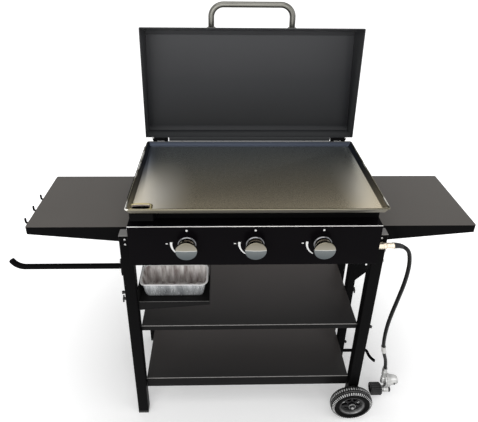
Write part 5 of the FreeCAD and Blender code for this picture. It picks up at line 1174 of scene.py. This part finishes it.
def regulatorParts():
    x, y, z = regulator["stem"]
    case, low = regulator["case"], regulator["low"]
    stem = turnedPart(filleted([(0, -10), (8, -10), (8, 14), (6.4, 16), (6.4, 26), (7.2, 28),
                                (8, 29), (8, 43),
                                (6.6, 46), (0, 46)], [0.3, 0.6, 0.6, 0.6, 0.5, 0.4, 0.8, 0.5], 3), (x, y, z),
                                (0, 0, 1), 36)
    shell = filleted([(0, 0), (15, 0), (19.6, 1.2), (21, 3.6), (21, 6.6), (22.4, 7), (23, 8),
                      (23, 12.2), (22.4, 13),
                      (21, 13.4), (21, 17.8), (19.4, 19.8), (17.8, 20.3), (17.2, 26), (15.8, 37), (14.2, 43),
                      (12.6, 45.4), (12.6, 46.9), (11.8, 48), (8.4, 48), (7.6, 46.6), (0, 46.6)], 0.45, 4)

    def crimps(profile, angle):
        # the clamp band's edge is pressed in thirty places round the case
        edge = np.clip((profile[:, :1] - 22.0) / 0.8, 0, 1) * (np.cos(30 * angle) * 0.5 + 0.5)[None] ** 3
        return 1.0 - 0.022 * edge

    body = turnedPart(shell, (case, y, z), (1, 0, 0), 180, crimps)
    neck = turnedPart(filleted([(0, 0), (6.4, 0), (6.4, 16), (6.0, 18), (6.0, 30), (6.4, 34),
                                (6.4, 50), (0, 50)],
                               0.5, 3), (case + 10, y, low), (0, 0, 1), 32)
    chamber = turnedPart(filleted([(0, 0), (9.6, 0), (11, 1.4), (11, 18), (10.2, 19.2), (0, 19.2)], 0.5, 3),
                         (regulator["chamber"], y, low), (1, 0, 0), 40)
    inlet = turnedPart([(0, 0), (7.9, 0), (7.9, 16), (0, 16)], (regulator["inlet"], y, low), (1, 0, 0), 32)
    cap = turnedPart(filleted([(0, 0), (10.2, 0), (11, 1.2), (11, 5), (9.2, 7.4), (5, 8), (0, 8)], 0.6, 4),
                     (regulator["cap"], y, low), (1, 0, 0), 40)
    vent = turnedPart(filleted([(0, -2), (3.4, -2), (3.4, 1.2), (2.6, 1.8), (1.6, 1.8), (1.4, 0.6), (0, 0.6)],
                               0.25, 3), (case + regulator["vent"][0], y - regulator["vent"][1], z),
                               (0, -1, 0), 28)
    cast = [(part, "castAluminium") for part in (stem, body, neck, chamber, inlet)]
    return cast + [(cap, "blackPlastic"), (vent, "blackPlastic")]


def nutPart():
    # one turned section closed on itself: the outside with a rounded back, the mouth, and the bore with
    # rings for its thread; ribs along the outside come from the cosine of the angle
    r, bore = nut["radius"], nut["bore"]
    ridges = [(bore + (0.9 if k % 2 else 0.05), 41.0 - k * nut["pitch"] / 2) for k in range(33)]
    corners = [(8.2, 0), (13.5, 0), (17.5, 2.6), (r, 7.2), (r, 38.6), (19.2, 41.2), (17.5, 42), (14.4, 42)]
    corners += ridges + [(bore, 7.4), (bore, 6.6), (8.2, 6.6), (8.2, 0)]
    section = filleted(corners, 0.28, 3)[:-1]

    def ribs(profile, angle):
        wall = np.clip((profile[:, :1] - 16.4) / 1.6, 0, 1) * np.clip((profile[:, 1:] - 1.5) / 3.0, 0, 1)
        valley = np.clip(0.55 - 0.75 * np.cos(nut["ribs"] * angle), 0, 1)[None] ** 1.2
        return 1.0 - wall * valley * nut["ribDepth"] / nut["radius"]

    return turnedPart(section, (nut["x"], nut["y"], nut["z"]), (-1, 0, 0), 252, ribs, closed=True)


ferrules = addPiece("hoseFerrules", [(ferrulePart(ferrule["upper"], (1, 0, 0),
                                                  ferrule["upperLength"]), "brass"),
                                     (ferrulePart(ferrule["lower"], (0, 0, 1),
                                                  ferrule["lowerLength"]), "zinc")], ["hose_ferrules"])
hoseLabel = addPiece("hoseSleeve", [(hollowTube(sleevePath, sleeveOut,
                                                np.full(12, sleeve["inside"]), (0, 1, 0)),
                                     "paleSleeve")], ["hose_sleeve"])
hoseRelief = addPiece("hoseRelief", [(hollowTube(reliefPath, reliefOut, np.full(14, 6.05), (0, 1, 0)),
                                      "blackPlastic")], body="cart")
regulatorPiece = addPiece("regulatorMade", regulatorParts(), ["regulator"])
nutPiece = addPiece("couplingNut", [(nutPart(), "blackPlastic")], ["coupling_nut"], angle=50)
print("gas fittings made")

# Floor and lights.
studio = {"floor": 14.0, "floorTones": ((0.90, 0.90, 0.90), (0.92, 0.92, 0.92)),
          "floorGloss": 0.9, "sky": 1.0,
          "skyOnObject": 0.45, "glowNear": (0.30, 0.20), "glowFar": (1.5, 0.75)}
lamps = {"keyLamp": {"place": (-0.5, -3.2, 2.0), "target": (0, 0, 0.8), "size": (4.0, 2.4), "power": 74.0},
         "fillLamp": {"place": (2.9, -1.4, 2.2), "target": (0, 0, 0.7), "size": (2.0, 2.0), "power": 16.0},
         "topLamp": {"place": (-0.2, -0.5, 3.4), "target": (0, 0, 0.9), "size": (2.6, 1.6), "power": 24.0}}


def plainWorld():
    # white where the camera, a gloss or a clear surface looks at it, and softer where it lights the object
    world = bpy.data.worlds.new("studioWorld")
    bpy.context.scene.world = world
    world.use_nodes = True
    tree = world.node_tree
    rays = addNode(tree, "LightPath").outputs
    seen = rays["Is Camera Ray"]
    for other in ("Is Glossy Ray", "Is Transmission Ray"):
        seen = mathOf(tree, "MAXIMUM", seen, rays[other])
    strength = addNode(tree, "MapRange", {"To Min": studio["skyOnObject"], "To Max": studio["sky"],
                                          "Value": seen})
    feed(tree, tree.nodes["Background"], {"Color": (1, 1, 1, 1), "Strength": strength.outputs["Result"]})


def softLamp(name, place, target, size, power):
    lamp = bpy.data.lights.new(name, "AREA")
    lamp.shape = "RECTANGLE"
    lamp.size, lamp.size_y = size
    lamp.energy = power
    aim = Vector(target) - Vector(place)
    turn = aim.to_track_quat("-Z", "Y").to_matrix().to_4x4()
    newItem(name, lamp).matrix_world = Matrix.Translation(Vector(place)) @ turn


def plainFloor():
    # a pale floor that keeps the shadow; a little glow seen only by the camera lifts its open part to white
    half = studio["floor"]
    mesh = bpy.data.meshes.new("floor")
    mesh.from_pydata([(-half, -half, 0), (half, -half, 0), (half, half, 0), (-half, half, 0)], [],
                     [(0, 1, 2, 3)])
    item = newItem("floor", mesh)
    paint = bpy.data.materials.new("floorPaint")
    paint.use_nodes = True
    tree = paint.node_tree
    place = addNode(tree, "TexCoord").outputs["Object"]
    tone = mixOfColours(tree, noiseField(tree, place, 1.5), *studio["floorTones"])
    reach = addNode(tree, "VectorMath", {0: place}, operation="LENGTH")
    (near, bright), (far, faint) = studio["glowNear"], studio["glowFar"]
    glow = addNode(tree, "MapRange", {"From Min": near, "To Min": bright, "From Max": far, "To Max": faint,
                                      "Value": reach.outputs["Value"]}, interpolation_type="SMOOTHSTEP")
    rays = addNode(tree, "LightPath").outputs
    seen = mathOf(tree, "MAXIMUM", rays["Is Camera Ray"], rays["Is Glossy Ray"])
    shown = mathOf(tree, "MULTIPLY", glow.outputs["Result"], seen)
    feed(tree, tree.nodes["Principled BSDF"], {"Base Color": tone, "Roughness": studio["floorGloss"],
                                               "Emission Color": (1, 1, 1, 1), "Emission Strength": shown})
    mesh.materials.append(paint)


bpy.context.scene.view_settings.view_transform = "Standard"
plainWorld()
plainFloor()
for label, lamp in lamps.items():
    softLamp(label, **lamp)
print("stage set")

bpy.context.view_layer.update()
